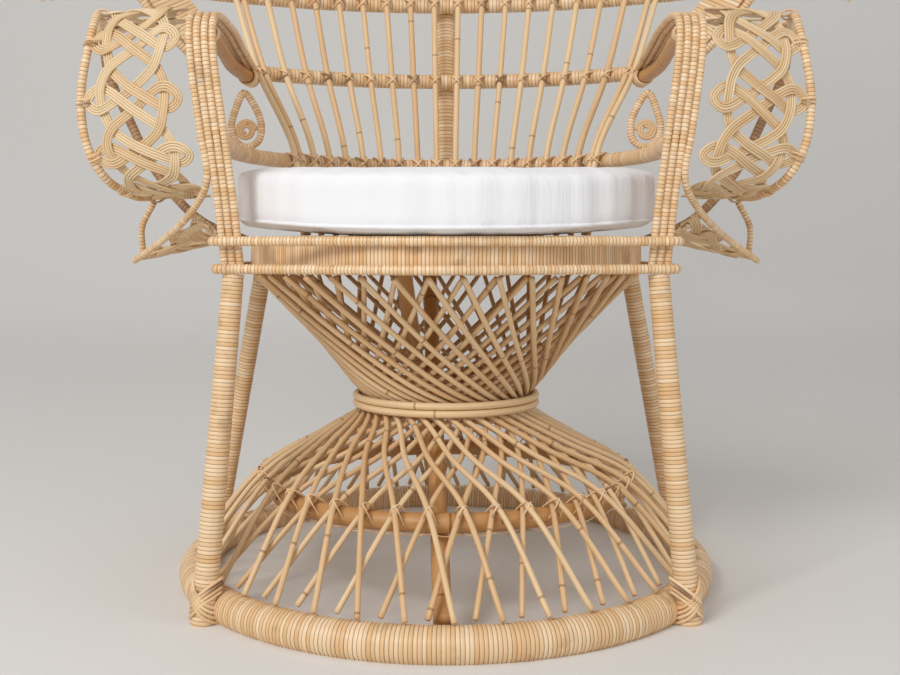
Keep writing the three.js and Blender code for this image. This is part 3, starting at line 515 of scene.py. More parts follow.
legs = {}
for hand, side in hands.items():
    foot = (side * front_foot[0], axis_y + front_foot[1], leg_foot_height)
    top = (side * front_top[0], axis_y + front_top[1], leg_top_height)
    legs[f"front_{hand}"] = (foot, top, *front_poles)
    foot = polar(rear_foot[0], side * rear_foot[1], leg_foot_height)
    top = polar(rear_top[0], side * rear_top[1], leg_top_height)
    legs[f"rear_{hand}"] = (foot, top, rear_pole, rear_pole)
for where, (foot, top, low_size, top_size) in legs.items():
    rod = wound([foot, top], low_size, leg_strip, top_size)
    place_rods(f"wrapped_leg_{where}", [rod], 14, peel, [f"leg_{where}"])

# %% [markdown]
# A glide is a small moulded disc nailed under each foot. A short cone gives its slight draft, and a bevel
# rounds its two rims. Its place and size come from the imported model.

# %% Glides
glide_draft = 0.92
glide_bevel = 0.0008


def finished(shell, name):
    """The mesh of a bmesh, which is no longer needed then."""
    mesh = bpy.data.meshes.new(name)
    shell.to_mesh(mesh)
    shell.free()
    return mesh


for node_name in [f"glide_{where}" for where in legs] + ["glide_back"]:
    low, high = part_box(node_name)
    radius, depth = (high.x - low.x) / 2, high.z - low.z
    shell = bmesh.new()
    bmesh.ops.create_cone(
        shell, cap_ends=True, segments=32, radius1=radius, radius2=radius * glide_draft, depth=depth
    )
    rims = [e for e in shell.edges if abs(e.verts[0].co.z - e.verts[1].co.z) < 1e-6]
    bmesh.ops.bevel(
        shell, geom=rims, offset=glide_bevel, segments=3, profile=0.5, affect="EDGES", material=-1
    )
    bmesh.ops.translate(shell, verts=shell.verts, vec=(low + high) / 2)
    place(f"moulded_{node_name}", finished(shell, node_name), polythene, [node_name])

# %% [markdown]
# The lattice is what makes the chair stand: forty canes twist one way from the seat ring through the
# waist and over the hoop to the floor ring, and forty inside them twist the other way. Each cane is a
# line through the same few stations, turned round the axis by its share of the circle. Small differences
# in size and a slight stray make them look bent by hand. Each layer is four pieces, as it is nailed on in
# quarters.

# %% Lattice
cane_count = 40
quarters = ["front_right", "back_right", "back_left", "front_left"]
quarter_canes = cane_count // len(quarters)
lattice_cane = 0.0058
lattice_stray = 0.5
thinnest, thickest = 0.96, 1.06
outer_stations = [
    # radius, height and twist of the outer canes, from the seat ring down to the floor ring
    (0.2183, 0.3468, -108.0),
    (0.1561, 0.2835, -94.7),
    (0.1108, 0.2292, -68.5),
    (0.0940, 0.1960, -32.0),
    (0.1490, 0.1601, -11.5),
    (0.2111, 0.1242, 0.0),
    (0.2836, 0.0409, 6.0),
]
layer_gap = 0.0061
inner_foot_twist = -8.0


def inner_from(stations):
    """The inner canes lie one cane's thickness inside, square to the slope, and twist the other way."""
    inner = []
    for i, (radius, height, twist) in enumerate(stations):
        steep = 0
        for a, b in ((i - 1, i), (i, i + 1)):
            if a >= 0 and b < len(stations):
                run = (stations[a][0] - stations[b][0]) / (stations[a][1] - stations[b][1])
                steep = max(steep, math.hypot(1, run))
        last = i + 1 == len(stations)
        inner.append((radius - layer_gap * steep, height, inner_foot_twist if last else -twist))
    return inner


layers = {"outer": outer_stations, "inner": inner_from(outer_stations)}
for layer, stations in layers.items():
    for quarter, corner in enumerate(quarters):
        rods = []
        for i in range(quarter * quarter_canes, (quarter + 1) * quarter_canes):
            start = 360 / cane_count * (i + 0.5)
            stray = chance.uniform(-lattice_stray, lattice_stray)
            points = []
            for k, (radius, z, twist) in enumerate(stations):
                free = 0 < k < len(stations) - 1
                points.append(polar(radius, start + twist + stray * free, z))
            size = lattice_cane * chance.uniform(thinnest, thickest)
            rods.append(bare(through(points, 8), size, step=0.009))
        name = f"canes_{layer}_{corner}"
        place_rods(name, rods, 8, thin_cane, [f"lattice_{layer}_{corner}"])

# %% [markdown]
# The hoop is a bare pole inside the lower bell, over which the canes bend. The waist is held by one cane
# wound twice round it, and its second turn climbs on top of the first. That climb is eased, because a
# cane can't bend sharply.

# %% Hoop and waist
hoop_radius = 0.197
hoop_pole = 0.020
hoop_height = 0.108
waist_radius = 0.1036
waist_cane = 0.008
waist_start = 207
waist_turn = 346
waist_height, waist_climb = 0.1990, 0.0083
climb_start, climb_length = 0.92, 0.16


def eased(share):
    """From 0 to 1 with a soft start and end."""
    share = min(1, max(0, share))
    return share * share * (3 - 2 * share)


hoop_rod = bare(circle(hoop_radius, hoop_height), hoop_pole, step=0.006)
place_rods("bare_hoop", [hoop_rod], 12, pole, ["inner_hoop"], closed=True)

waist_line = []
for i in range(181):
    turn = 2 * i / 180
    climb = eased((turn - climb_start) / climb_length)
    angle = waist_start + waist_turn * turn
    waist_line.append(polar(waist_radius, angle, waist_height + waist_climb * climb))
waist_rod = bare(waist_line, waist_cane, step=0.005)
place_rods("wound_waist_cane", [waist_rod], 10, thin_cane, ["waist_binding"])

# %% [markdown]
# Two bare poles lean across the inside of the base, from the floor ring to the deck on the other side.
# They are straight, so each is a rod between two points.

# %% Struts
strut_pole = 0.018
strut_foot_radius, strut_foot_height = 0.2563, 0.031
strut_top_radius, strut_top_height = 0.172, 0.3745
struts = {
    # angle of the foot on the ring, then how far left of the middle the foot and the top lie
    "front": (0, 0.003, 0.023),
    "back": (180, 0.015, 0.046),
}
for facing, (angle, foot_left, top_left) in struts.items():
    foot = np.array(polar(strut_foot_radius, angle, strut_foot_height)) - np.array([foot_left, 0, 0])
    top = np.array(polar(strut_top_radius, angle + 180, strut_top_height)) - np.array([top_left, 0, 0])
    strut_rod = bare([foot, top], strut_pole, step=0.006)
    place_rods(f"bare_strut_{facing}", [strut_rod], 12, pole, [f"inner_strut_{facing}"])

# %% [markdown]
# A tie is a thin strip of peel that crosses over a joint and goes in behind the pole. From the front it
# is two short bows that make an X. One helper makes a bow between two corners, and every tie is two of
# them. The first ties hold the lattice canes to the hoop, and a thin strand runs from each tie to the
# next.

# %% Ties on the hoop
tie_strip = 0.0019
tie_tilt = 41
tie_stand_off = 0.0185
strand_cane = 0.0016
strand_out_share = 0.72
strand_low_shares = (0.9, 1.15)


def cross_tie(centre, up, across, out, reach, rise, drop, strip=tie_strip):
    """Two bows over a crossing: reach is half the X along each way, rise is how high they pass over it."""
    bows = []
    for slant in (1, -1):
        bow = []
        for t in np.linspace(-1, 1, 9):
            lift = rise - (rise + drop) * abs(t) ** 2.6
            corner = t * reach * (np.array(up) + slant * np.array(across))
            bow.append(np.array(centre) + corner + lift * np.array(out))
        bows.append(bare(through(bow, 2), strip, step=0.003))
    return bows


ties = []
strand = []
tilt_in, tilt_up = math.sin(math.radians(tie_tilt)), math.cos(math.radians(tie_tilt))
for i in range(cane_count):
    angle = 360 / cane_count * (i + 0.5)
    radial = np.array([math.sin(math.radians(angle)), -math.cos(math.radians(angle)), 0])
    upright = np.array([0, 0, 1])
    out = radial * tilt_in + upright * tilt_up
    down = radial * tilt_up - upright * tilt_in
    centre = np.array(polar(hoop_radius, angle, hoop_height)) + out * tie_stand_off
    ties += cross_tie(centre, down, np.cross(out, down), out, reach=0.0075, rise=0.0068, drop=0.016)
    for share, low in zip((0.0, 0.5), strand_low_shares):
        spot = np.array(polar(hoop_radius, angle + 360 / cane_count * share, hoop_height))
        strand.append(spot + hoop_pole / 2 * (radial * strand_out_share - upright * low))
strand.append(strand[0])
ties.append(bare(through(strand, 4), strand_cane, step=0.004))
place_rods("hoop_ties", ties, 6, peel)

# %% [markdown]
# The seat ring is a wide bent strip, covered with upright strips of peel about 4 mm wide. A rectangle is
# spun round the axis in three steps for each strip, and the point between two strips is pushed in. That
# keeps it one clean shell, where a strip for each would be some 360 small pieces.

# %% Seat ring
seat_inner = 0.206
seat_outer = 0.222
seat_low = 0.350
seat_high = 0.388
apron_strip = 0.0039
apron_count = 4 * round(2 * math.pi * seat_outer / apron_strip / 4)
apron_groove = 0.0008
even_tone = 0.4


def spun(name, outline, steps, closed=True):
    """An outline of (radius, height), spun round the chair's axis."""
    shell = bmesh.new()
    corners = [shell.verts.new((radius, axis_y, z)) for radius, z in outline]
    edges = [shell.edges.new(pair) for pair in zip(corners, corners[1:])]
    if closed:
        edges.append(shell.edges.new((corners[-1], corners[0])))
    bmesh.ops.spin(
        shell,
        geom=corners + edges,
        cent=(0, axis_y, 0),
        axis=(0, 0, 1),
        angle=2 * math.pi,
        steps=steps,
        use_merge=True,
        use_duplicate=False,
    )
    bmesh.ops.remove_doubles(shell, verts=shell.verts, dist=1e-5)
    bmesh.ops.recalc_face_normals(shell, faces=shell.faces)
    return finished(shell, name)


section = [(seat_inner, seat_low), (seat_outer, seat_low), (seat_outer, seat_high), (seat_inner, seat_high)]
apron = spun("apron", section, apron_count * 3)
spots = np.array([v.co for v in apron.vertices])
angles = np.arctan2(spots[:, 0], -(spots[:, 1] - axis_y)) / (2 * math.pi) * apron_count
between_strips = np.rint(angles * 3).astype(int) % 3 == 0
radii = np.hypot(spots[:, 0], spots[:, 1] - axis_y)
outside = radii > (seat_inner + seat_outer) / 2
inward = np.where(between_strips & outside, apron_groove, 0)
spots[:, 0] *= 1 - inward / radii
spots[:, 1] = axis_y + (spots[:, 1] - axis_y) * (1 - inward / radii)
apron.vertices.foreach_set("co", spots.ravel())
apron_grain = np.stack([angles * apron_strip, spots[:, 2], radii], axis=1)
write_attributes(apron, apron_grain, angles + 0.001, np.full(len(spots), even_tone))
place("apron_strips", apron, peel, ["seat_ring"])

# %% [markdown]
# The canes of the arm stand on the front legs, climb beside the cushion, bend over at the top and run
# back to the fan. Several pieces meet them, so their middle line comes first. It is given in shares of
# the arm's depth, height and spread, so that another arm size keeps the same curve.

# %% The arm's line
mid_rail_height = 0.607
mid_rail_reach = 0.2666
mid_rail_sag = 0.097
arm_forward = 0.168
arm_foot_out = 0.213
arm_out = 0.243
arm_height = 0.617
arm_base = 0.3503
arm_cane = 0.0075
arm_pitch = 0.0078
arm_short = 0.020
arm_depth = mid_rail_reach - mid_rail_sag + arm_forward - arm_short
arm_shares = [
    # depth from the front to the mid rail, height from the seat to the arm, spread
    (0, 0, 0),
    (0, 0.28, 0.27),
    (-0.01, 0.53, 0.56),
    (-0.01, 0.79, 0.88),
    (0, 0.91, 0.97),
    (0.035, 0.97, 1),
    (0.12, 1, 1.02),
    (0.42, 1.01, 1.12),
    (0.72, 1, 1.36),
    (1, 0.965, 1.5),
]


def arm_point(shares, shift=0.0):
    """A place on the right arm, moved sideways by the shift."""
    depth, height, spread = shares
    x = arm_foot_out + spread * (arm_out - arm_foot_out) + shift
    z = arm_base + height * (arm_height - arm_base)
    return np.array([x, axis_y - arm_forward + depth * arm_depth, z])


def arm_x(z):
    """How far out the arm stands at a height, below its bend."""
    stations = [arm_point(s) for s in arm_shares[:5]]
    return float(np.interp(z, [s[2] for s in stations], [s[0] for s in stations]))


print("the arms are", round(2 * arm_x(arm_height), 3), "m apart at the top")

# %% [markdown]
# Two thin wrapped rails run round the seat ring, one at its upper and one at its lower edge. At the front
# corners they swing out round the feet of the arm canes and hold them, so their line repeats the line of
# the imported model. Every wrapped piece keeps that model's gap of 0.3 mm from what it touches, and a
# little more where it bends.

# %% Seat rails
rail_cane = 0.010
rail_strip = 0.0038
gap = 0.0003
bend_room = 0.0008
seat_rail_heights = {"lower": 0.355, "upper": 0.3827}
rail_ease_share = 0.9
rail_side_share = 0.5


def seat_rail_line(z):
    """Once round the seat ring, with a swing round the arm canes' feet at each front corner."""
    ring = seat_outer + rail_cane / 2 + gap
    around = arm_cane / 2 + rail_cane / 2 + bend_room
    arm = arm_x(z)
    half = [polar(ring, 9 * i, z) for i in range(3)]
    half.append((arm - arm_pitch, axis_y - arm_forward - around, z))
    for degrees in (0, 45, 90):
        angle = math.radians(degrees)
        corner_x = arm + arm_pitch + around * math.sin(angle)
        half.append((corner_x, axis_y - arm_forward - around * math.cos(angle), z))
    half.append((arm + arm_pitch + around * rail_ease_share, axis_y - arm_forward * rail_side_share, z))
    half += [polar(ring, 9 * i, z) for i in range(10, 21)]
    half = np.array(half)
    return np.vstack([turned_left(half[1:], -1)[::-1], half])


for name, z in seat_rail_heights.items():
    rod = wound(through(seat_rail_line(z), 8), rail_cane, rail_strip)
    place_rods(f"wrapped_seat_rail_{name}", [rod], 10, peel, [f"seat_rail_{name}"])

# %% [markdown]
# The back is a fan. Rails of wrapped pole run across it, and the ribs pass in front of them and are tied
# to each. A flat fan would be simpler, but the real one is bowed to hold a sitter's back: the rails bow
# backwards less and less the higher they are, and the whole fan leans back. Two small functions give its
# surface: one at a distance along a level line, for the ribs, and one at a sideways place, for the arch.

# %% The fan's surface
upper_rail_height = 0.720
upper_rail_reach = 0.300
rib_stand_off = 0.01565
upper_stand_off = 0.01519
mid_bow = 0.416
upper_bow = 0.630
bow_opening = 2.8
fan_bow = 0.600
fan_lean = 13
fan_half_width = 0.465
fan_half_height = 0.435
fan_centre = 0.930


def above_mid_rail(z):
    """A height as a share of the way from the mid rail to the upper rail."""
    return (z - mid_rail_height) / (upper_rail_height - mid_rail_height)


def bow_radius(z):
    """How widely the back is bowed at a height."""
    if z < upper_rail_height:
        return mid_bow + above_mid_rail(z) * (upper_bow - mid_bow)
    return upper_bow + bow_opening * (z - upper_rail_height)


def rail_reach(z):
    """How far behind the chair's axis the middle of a rail lies at a height."""
    if z > upper_rail_height:
        return upper_rail_reach + (z - upper_rail_height) * math.tan(math.radians(fan_lean))
    return mid_rail_reach + above_mid_rail(z) * (upper_rail_reach - mid_rail_reach)


def on_back(along, z):
    """Where a rib lies at a height, a length along the level line from the middle."""
    radius = bow_radius(z)
    reach = rail_reach(z) - rib_stand_off - radius * (1 - math.cos(along / radius))
    return np.array([radius * math.sin(along / radius), axis_y + reach, z])


def on_fan(x, z):
    """The same surface at a sideways place."""
    radius = max(bow_radius(z), fan_bow)
    reach = rail_reach(z) - rib_stand_off - (radius - math.sqrt(radius**2 - x**2))
    return np.array([x, axis_y + reach, z])


def on_arch(degrees, grow):
    """A place on the round outline, or outside it by the length in grow."""
    angle = math.radians(degrees)
    x = (fan_half_width + grow) * math.cos(angle)
    return on_fan(x, fan_centre + (fan_half_height + grow) * math.sin(angle))


print("the arch's top", [round(float(v), 3) for v in on_arch(90, 0)])

# %% [markdown]
# Five rails cross the back. The lowest is bent to a half circle over the seat ring and runs forward to
# the arms. The others are bows of the fan's surface, and the upper three are as long as the fan is wide
# there. One thick post stands behind the middle and holds them all. They are wrapped with wider strips
# than the base has.

# %% Rails and post
back_pole = 0.020
back_strip = 0.0052
low_rail_height = 0.486
low_rail_radius = 0.2425
low_rail_pole = 0.019
mid_rail_half_width = 0.268
fan_rail_heights = {"upper_rail": upper_rail_height, "third_rail": 0.905, "fourth_rail": 1.110}
post_pole = 0.027
post_foot_reach, post_foot_height = 0.231, 0.3933
post_top_height = 1.325
band_inner = -0.0453
band_width = 0.040


def back_rail_line(z, half_width):
    radius = bow_radius(z) + rib_stand_off
    middle = axis_y + rail_reach(z) - (rib_stand_off - upper_stand_off if z > upper_rail_height else 0)
    line = []
    for i in range(41):
        angle = half_width / radius * (i / 20 - 1)
        line.append((radius * math.sin(angle), middle - radius * (1 - math.cos(angle)), z))
    return line


def rail_half_width(z):
    """Half the width of the fan at a height, up to the middle of the arch band."""
    up = (z - fan_centre) / (fan_half_height + band_inner)
    return (fan_half_width + band_inner) * math.sqrt(1 - up * up) + band_width / 2


low_arm = arm_x(low_rail_height)
low_start = axis_y - arm_forward + arm_cane / 2 + gap
low_half = [(low_arm, low_start, low_rail_height)]
low_half.append(((low_arm + low_rail_radius) / 2, (low_start + axis_y) / 2, low_rail_height))
low_half += [polar(low_rail_radius, 9 * i, low_rail_height) for i in range(10, 21)]
low_half = np.array(low_half)
rail_lines = {"low_rail": through(np.vstack([turned_left(low_half, -1)[:-1], low_half[::-1]]), 8)}
rail_lines["mid_rail"] = back_rail_line(mid_rail_height, mid_rail_half_width)
for name, z in fan_rail_heights.items():
    rail_lines[name] = back_rail_line(z, rail_half_width(z))
for name, line in rail_lines.items():
    rod = wound(line, low_rail_pole if name == "low_rail" else back_pole, back_strip)
    place_rods(f"wrapped_{name}", [rod], 12, peel, [name])

post_behind = (back_pole + post_pole) / 2 + bend_room
post_behind_low = low_rail_radius + (low_rail_pole + post_pole) / 2 + bend_room
post_line = [(0, axis_y + post_foot_reach, post_foot_height)]
post_line.append((0, axis_y + post_behind_low, low_rail_height))
for z in (mid_rail_height, upper_rail_height, post_top_height):
    post_line.append((0, axis_y + rail_reach(z) + post_behind, z))
post_rod = wound(through(post_line), post_pole, back_strip)
place_rods("wrapped_post", [post_rod], 14, peel, ["centre_post"])

# %% [markdown]
# Nine bare ribs on each side rise from the seat ring in front of the rails and spread to the arch, and a
# tenth stands close beside the last. A tie holds each where it crosses a rail. A rib ends where it meets
# the arch band, and that height is found by halving.

# %% Ribs
rib_count = 9
rib_cane = 0.008
rib_beside = 0.32
rib_thinnest, rib_thickest = 0.95, 1.05
rib_low_pitch, rib_upper_pitch = 0.0259, 0.0338
rib_foot_radius, rib_foot_height = 0.214, 0.3908
rib_bend_height = 0.4955
rib_top_limit = 1.365
rib_low_radius = low_rail_radius - (low_rail_pole + rib_cane) / 2
rib_step = math.degrees(rib_low_pitch / rib_low_radius)
rib_pitch_slope = (rib_upper_pitch - rib_low_pitch) / (upper_rail_height - low_rail_height)
rib_orders = [i + 0.5 for i in range(rib_count)] + [rib_count - 0.5 + rib_beside]
tied_heights = [low_rail_height, mid_rail_height, *fan_rail_heights.values()]
tie_below_tip = 0.02
tie_turn_share = 0.8
rib_tie = {"reach": 0.0078, "rise": 0.0062, "drop": 0.010, "strip": 0.0029}


def rib_along(order, z):
    return order * (rib_low_pitch + (z - low_rail_height) * rib_pitch_slope)


def rib_tip(order):
    low, high = upper_rail_height, rib_top_limit
    clear = band_inner - gap - rib_cane / 2
    for _ in range(40):
        z = (low + high) / 2
        across = on_back(rib_along(order, z), z)[0] / (fan_half_width + clear)
        up = (z - fan_centre) / (fan_half_height + clear)
        if across**2 + up**2 < 1:
            low = z
        else:
            high = z
    return low


rib_ties = []
for hand, side in hands.items():
    rods = []
    for order in rib_orders:
        angle = 180 - order * rib_step
        tip = rib_tip(order)
        points = [polar(rib_foot_radius, angle, rib_foot_height)]
        points.append(polar(rib_low_radius, angle, rib_bend_height))
        for z in (mid_rail_height, upper_rail_height, (upper_rail_height + tip) / 2, tip):
            points.append(on_back(rib_along(order, z), z))
        line = turned_left(through(points), side)
        rods.append(bare(line, rib_cane * chance.uniform(rib_thinnest, rib_thickest), step=0.008))
        inwards = math.sin(math.radians(order * rib_step)) * tie_turn_share
        facing = unit(np.array([-side * inwards, -1, 0]))
        for z in tied_heights:
            if z < tip - tie_below_tip:
                k = int(np.argmin(abs(line[:, 2] - z)))
                up = unit(line[min(k + 1, len(line) - 1)] - line[k - 1])
                rib_ties += cross_tie(line[k], up, np.cross(up, facing), facing, **rib_tie)
    place_rods(f"bare_ribs_{hand}", rods, 10, thin_cane, [f"ribs_{hand}"])
place_rods("rib_ties", rib_ties, 6, peel)

# %% [markdown]
# The arch is a flat band wrapped crosswise, with a thin rod outside it. Past that rod comes the woven
# border, and a second rod closes it. A round rod that is squashed flat would lose the band's straight
# edges. So the band is built from rings of six points across it, bridged one to the next, which dip at
# each seam of the peel.

# %% Arch band and border rods
border_rod = 0.010
border_strip = 0.0044
border_width = 0.085
border_foot = 30
arch_foot = 47
band_thickness = 0.008
band_strip = 0.0050
band_middle = -border_rod / 2 - gap - band_width / 2
band_section = [
    # place across the band from one edge to the other, and height as a share of its thickness
    (0.0, -0.5),
    (0.5, -0.62),
    (1.0, -0.5),
    (1.0, 0.5),
    (0.5, 0.62),
    (0.0, 0.5),
]


def arch_line(foot, grow, steps=240):
    sweep = 180 + 2 * foot
    return np.array([on_arch(-foot + sweep * i / steps, grow) for i in range(steps + 1)])


def flat_band(name, inner, outer, thickness, strip):
    """A flat band between two lines, wrapped with strips that dip at their seams."""
    middle = (inner + outer) / 2
    rod = wound(middle, 1.0, strip)
    along = lengths_of(middle)
    share = rod["turns"] / rod["turns"][-1] * along[-1]
    low = np.stack([np.interp(share, along, inner[:, k]) for k in range(3)], axis=1)
    high = np.stack([np.interp(share, along, outer[:, k]) for k in range(3)], axis=1)
    thick = rod["radius"] * 2 * thickness
    shell = bmesh.new()
    previous = None
    for k in range(len(share)):
        forward = low[min(k + 1, len(share) - 1)] - low[max(k - 1, 0)]
        normal = unit(np.cross(forward, high[k] - low[k]))
        ring = []
        for across, up in band_section:
            ring.append(shell.verts.new(low[k] + (high[k] - low[k]) * across + normal * up * thick[k]))
        edges = [shell.edges.new(pair) for pair in zip(ring, ring[1:] + ring[:1])]
        if previous:
            bmesh.ops.bridge_loops(shell, edges=previous + edges)
        previous = edges
    bmesh.ops.holes_fill(shell, edges=[e for e in shell.edges if e.is_boundary], sides=0)
    bmesh.ops.recalc_face_normals(shell, faces=shell.faces)
    mesh = finished(shell, name)
    turns = np.repeat(rod["turns"], len(band_section))
    spots = np.array([v.co for v in mesh.vertices])
    grain = np.stack([turns * strip, spots[:, 0], spots[:, 2]], axis=1)
    write_attributes(mesh, grain, turns, np.full(len(spots), even_tone))
    return mesh


band_edges = [arch_line(arch_foot, band_middle + way * band_width / 2) for way in (-1, 1)]
band = flat_band("arch_band_strips", *band_edges, band_thickness, band_strip)
place("wrapped_arch_band", band, peel, ["arch_band"])
for name, foot, grow in (("inner", arch_foot, 0.0), ("outer", border_foot, border_width)):
    rod = wound(arch_line(foot, grow), border_rod, border_strip)
    place_rods(f"wrapped_border_rod_{name}", [rod], 10, peel, [f"border_rod_{name}"])

# %% [markdown]
# The border and the wings are woven from groups of four thin reeds. Each group runs slantwise from edge
# to edge, turns in a round loop beside a rod and comes back over its own line, so that every row shows
# one knot. Four such groups make the border: two that start one row apart, and their mirror images. The
# knot is drawn once, flat, with the places where a group passes over or under the others, and laid on
# each curved strip.

# %% Weaving
reed_size = 0.0028
reed_pitch = 0.0027
reeds_in_group = 4
weave_row = 0.072
weave_lift = 0.0015
slope_step = 0.002
knot = [
    # rows along the strip, place across it from edge to edge, and over (1) or under (-1) the others
    (-0.15, -0.625, 1),
    (0.12, -0.60, -1),
    (0.44, -0.47, -1),
    (0.62, -0.25, 0),
    (0.80, 0.03, 1),
    (0.93, 0.27, 1),
    (1.10, 0.57, -1),
    (1.12, 0.72, -0.5),
    (0.97, 0.90, 0),
    (0.79, 0.75, 0.5),
    (0.77, 0.60, 1),
    (0.85, 0.40, 0),
    (0.93, 0.27, -1),
    (1.12, 0.0, -1),
    (1.28, -0.25, 0),
    (1.44, -0.47, 1),
    (1.66, -0.60, 1),
]


def flat_lines(rows, row, half_width):
    """The groups' lines on a flat strip: how far along, how far across and how high."""
    lines = []
    for side in (1, -1):
        for first in (0, 1):
            points = []
            for period in range(-1, rows // 2 + 1):
                for place_along, across, lift in knot:
                    along = (first + 2 * period + place_along) * row
                    points.append((along, side * across * half_width, side * lift * weave_lift))
            line = through(points, 6)
            inside = (line[:, 0] >= 0) & (line[:, 0] <= rows * row)
            for run in np.split(np.arange(len(line)), np.nonzero(np.diff(inside))[0] + 1):
                if inside[run[0]] and len(run) > 4:
                    lines.append(line[run])
    return lines


def woven(inner, outer, length, rows, inner_margin, outer_margin):
    """Reeds woven on the strip between two lines, inner(u) and outer(u)."""
    width = float(np.linalg.norm(outer(0.5) - inner(0.5)))
    rods = []
    for flat in flat_lines(rows, length / rows, width / 2):
        centres, normals = [], []
        for along, across, _ in flat:
            u = along / length
            a, b = inner(u), outer(u)
            size = np.linalg.norm(b - a)
            low, high = inner_margin / size, 1 - outer_margin / size
            v = low + (across / width + 0.5) * (high - low)
            before, after = max(0.0, u - slope_step), min(1.0, u + slope_step)
            forward = (inner(after) - inner(before)) * (1 - v) + (outer(after) - outer(before)) * v
            centres.append(a * (1 - v) + b * v)
            normals.append(unit(np.cross(forward, b - a)))
        centres, normals = np.array(centres), np.array(normals)
        sideways = unit(np.cross(np.gradient(centres, axis=0), normals))
        for k in range(reeds_in_group):
            shift = (k - (reeds_in_group - 1) / 2) * reed_pitch
            line = centres + sideways * shift + normals * flat[:, 2:]
            rods.append(bare(line, reed_size, step=0.005))
    return rods


print("the flat knot has", len(knot), "stations, and each group", reeds_in_group, "reeds")

# %% [markdown]
# Each loop of the weave is bound to the rod at its edge with two small rings of peel. A torus would be
# too regular, so each ring is a short cane bent round the rod and the loop, which leans by a
# millimetre.

# %% Rings round the rods
loop_place = 0.97
last_ring_share = 0.995
ring_step = 0.003
ring_shift = 0.0022
ring_slant = 0.001
ring_inward = 0.0036
ring_wide, ring_high = 0.0042, 0.0012


def edge_ties(edge, towards, rows, rod_size):
    """Small rings that tie each loop of the weave to the rod at its edge."""
    rings = []
    for k in range(rows):
        share = min(last_ring_share, (k + loop_place) / rows)
        centre = edge(share)
        along = unit(edge(share + ring_step) - edge(share - ring_step))
        inward = towards(share) - centre
        inward = unit(inward - along * inward.dot(along))
        out = np.cross(along, inward)
        for shift in (-ring_shift, ring_shift):
            ring = []
            for angle in np.linspace(0, 2 * math.pi, 17):
                wide = (rod_size / 2 + ring_wide) * math.cos(angle)
                high = (rod_size / 2 + ring_high) * math.sin(angle)
                spot = centre + along * (shift + ring_slant * math.sin(angle))
                ring.append(spot + inward * (ring_inward + wide) + out * high)
            rings.append(bare(ring, tie_strip, step=0.0025))
    return rings


# %% [markdown]
# The border is one such strip, laid between the two rods of the arch. Its rows are counted from its
# length, so that it starts and ends with a whole knot. One mesh holds all its reeds, because no reed
# can be taken out of it alone.

# %% Woven border
border_sweep = 180 + 2 * border_foot


def border_inner(u):
    return on_arch(-border_foot + border_sweep * u, 0.0)


def border_outer(u):
    return on_arch(-border_foot + border_sweep * u, border_width)


border_length = float(lengths_of(arch_line(border_foot, border_width / 2))[-1])
border_rows = round(border_length / weave_row)
margins = (border_rod / 2, border_rod / 2)
border_reeds = woven(border_inner, border_outer, border_length, border_rows, *margins)
place_rods("border_reeds", border_reeds, 6, reed, ["border_strand_over", "border_strand_under"])
border_rings = edge_ties(border_inner, border_outer, border_rows, border_rod)
border_rings += edge_ties(border_outer, border_inner, border_rows, border_rod)
place_rods("border_ties", border_rings, 6, peel)

# %% [markdown]
# Each arm is four wrapped canes side by side. Three stand on the front leg and run back to the mid rail,
# and the fourth leaves them above the seat and runs out to the tip of the lower wing. They share one
# line, shifted sideways by one cane each, so that they stay side by side through the bend.

# %% Arm canes
arm_strip = 0.0041
wing_out = 0.377
wing_tip_out = 0.345
wing_tip_height = 0.362
wing_tip_forward = 0.050
wing_split_height = 0.445
lower_shares = [
    # how far out, how far back from the front to the tip, and how high above the tip
    (0, 0, 1),
    (0.19, 0.22, 0.64),
    (0.56, 0.6, 0.3),
    (1, 1, 0),
    (1.03, 1.35, 0.06),
    (0.96, 1.75, 0.16),
]


def mid_rail_end(x):
    """How far back a cane ends in front of the mid rail, at a sideways place."""
    radius = mid_bow + rib_stand_off
    cosine = math.sqrt(1 - (x / radius) ** 2)
    clear = back_pole / 2 + bend_room + arm_cane / 2
    return axis_y + mid_rail_reach - radius * (1 - cosine) - clear / cosine


def lower_edge():
    """The lower wing's outer edge, where the fourth cane runs."""
    start = arm_x(wing_split_height) + 2 * arm_pitch
    edge = []
    for out, back, up in lower_shares:
        x = start + out * (wing_tip_out - start)
        y = axis_y - arm_forward + back * (arm_forward - wing_tip_forward)
        edge.append((x, y, wing_tip_height + up * (wing_split_height - wing_tip_height)))
    return edge


for hand, side in hands.items():
    for i in range(4):
        leaves = i == 3
        points = [arm_point(s, (i - 1) * arm_pitch) for s in arm_shares[2 if leaves else 0 :]]
        points[-1][1] = mid_rail_end(points[-1][0] + arm_cane / 2)
        points = (lower_edge()[::-1] if leaves else []) + points
        rod = wound(turned_left(through(points), side), arm_cane, arm_strip)
        name = f"arm_cane_{hand}_{i + 1}"
        place_rods(f"wrapped_{name}", [rod], 10, peel, [name])

# %% [markdown]
# The wing is a woven strip between the outer cane and a rod that stands away from it. It starts at the
# fan, folds over the arm and turns in under it. From its end a thin rod runs down to the lower wing. The
# two edges are given as shares of the arm's size, and the weave is the border's, laid between them.

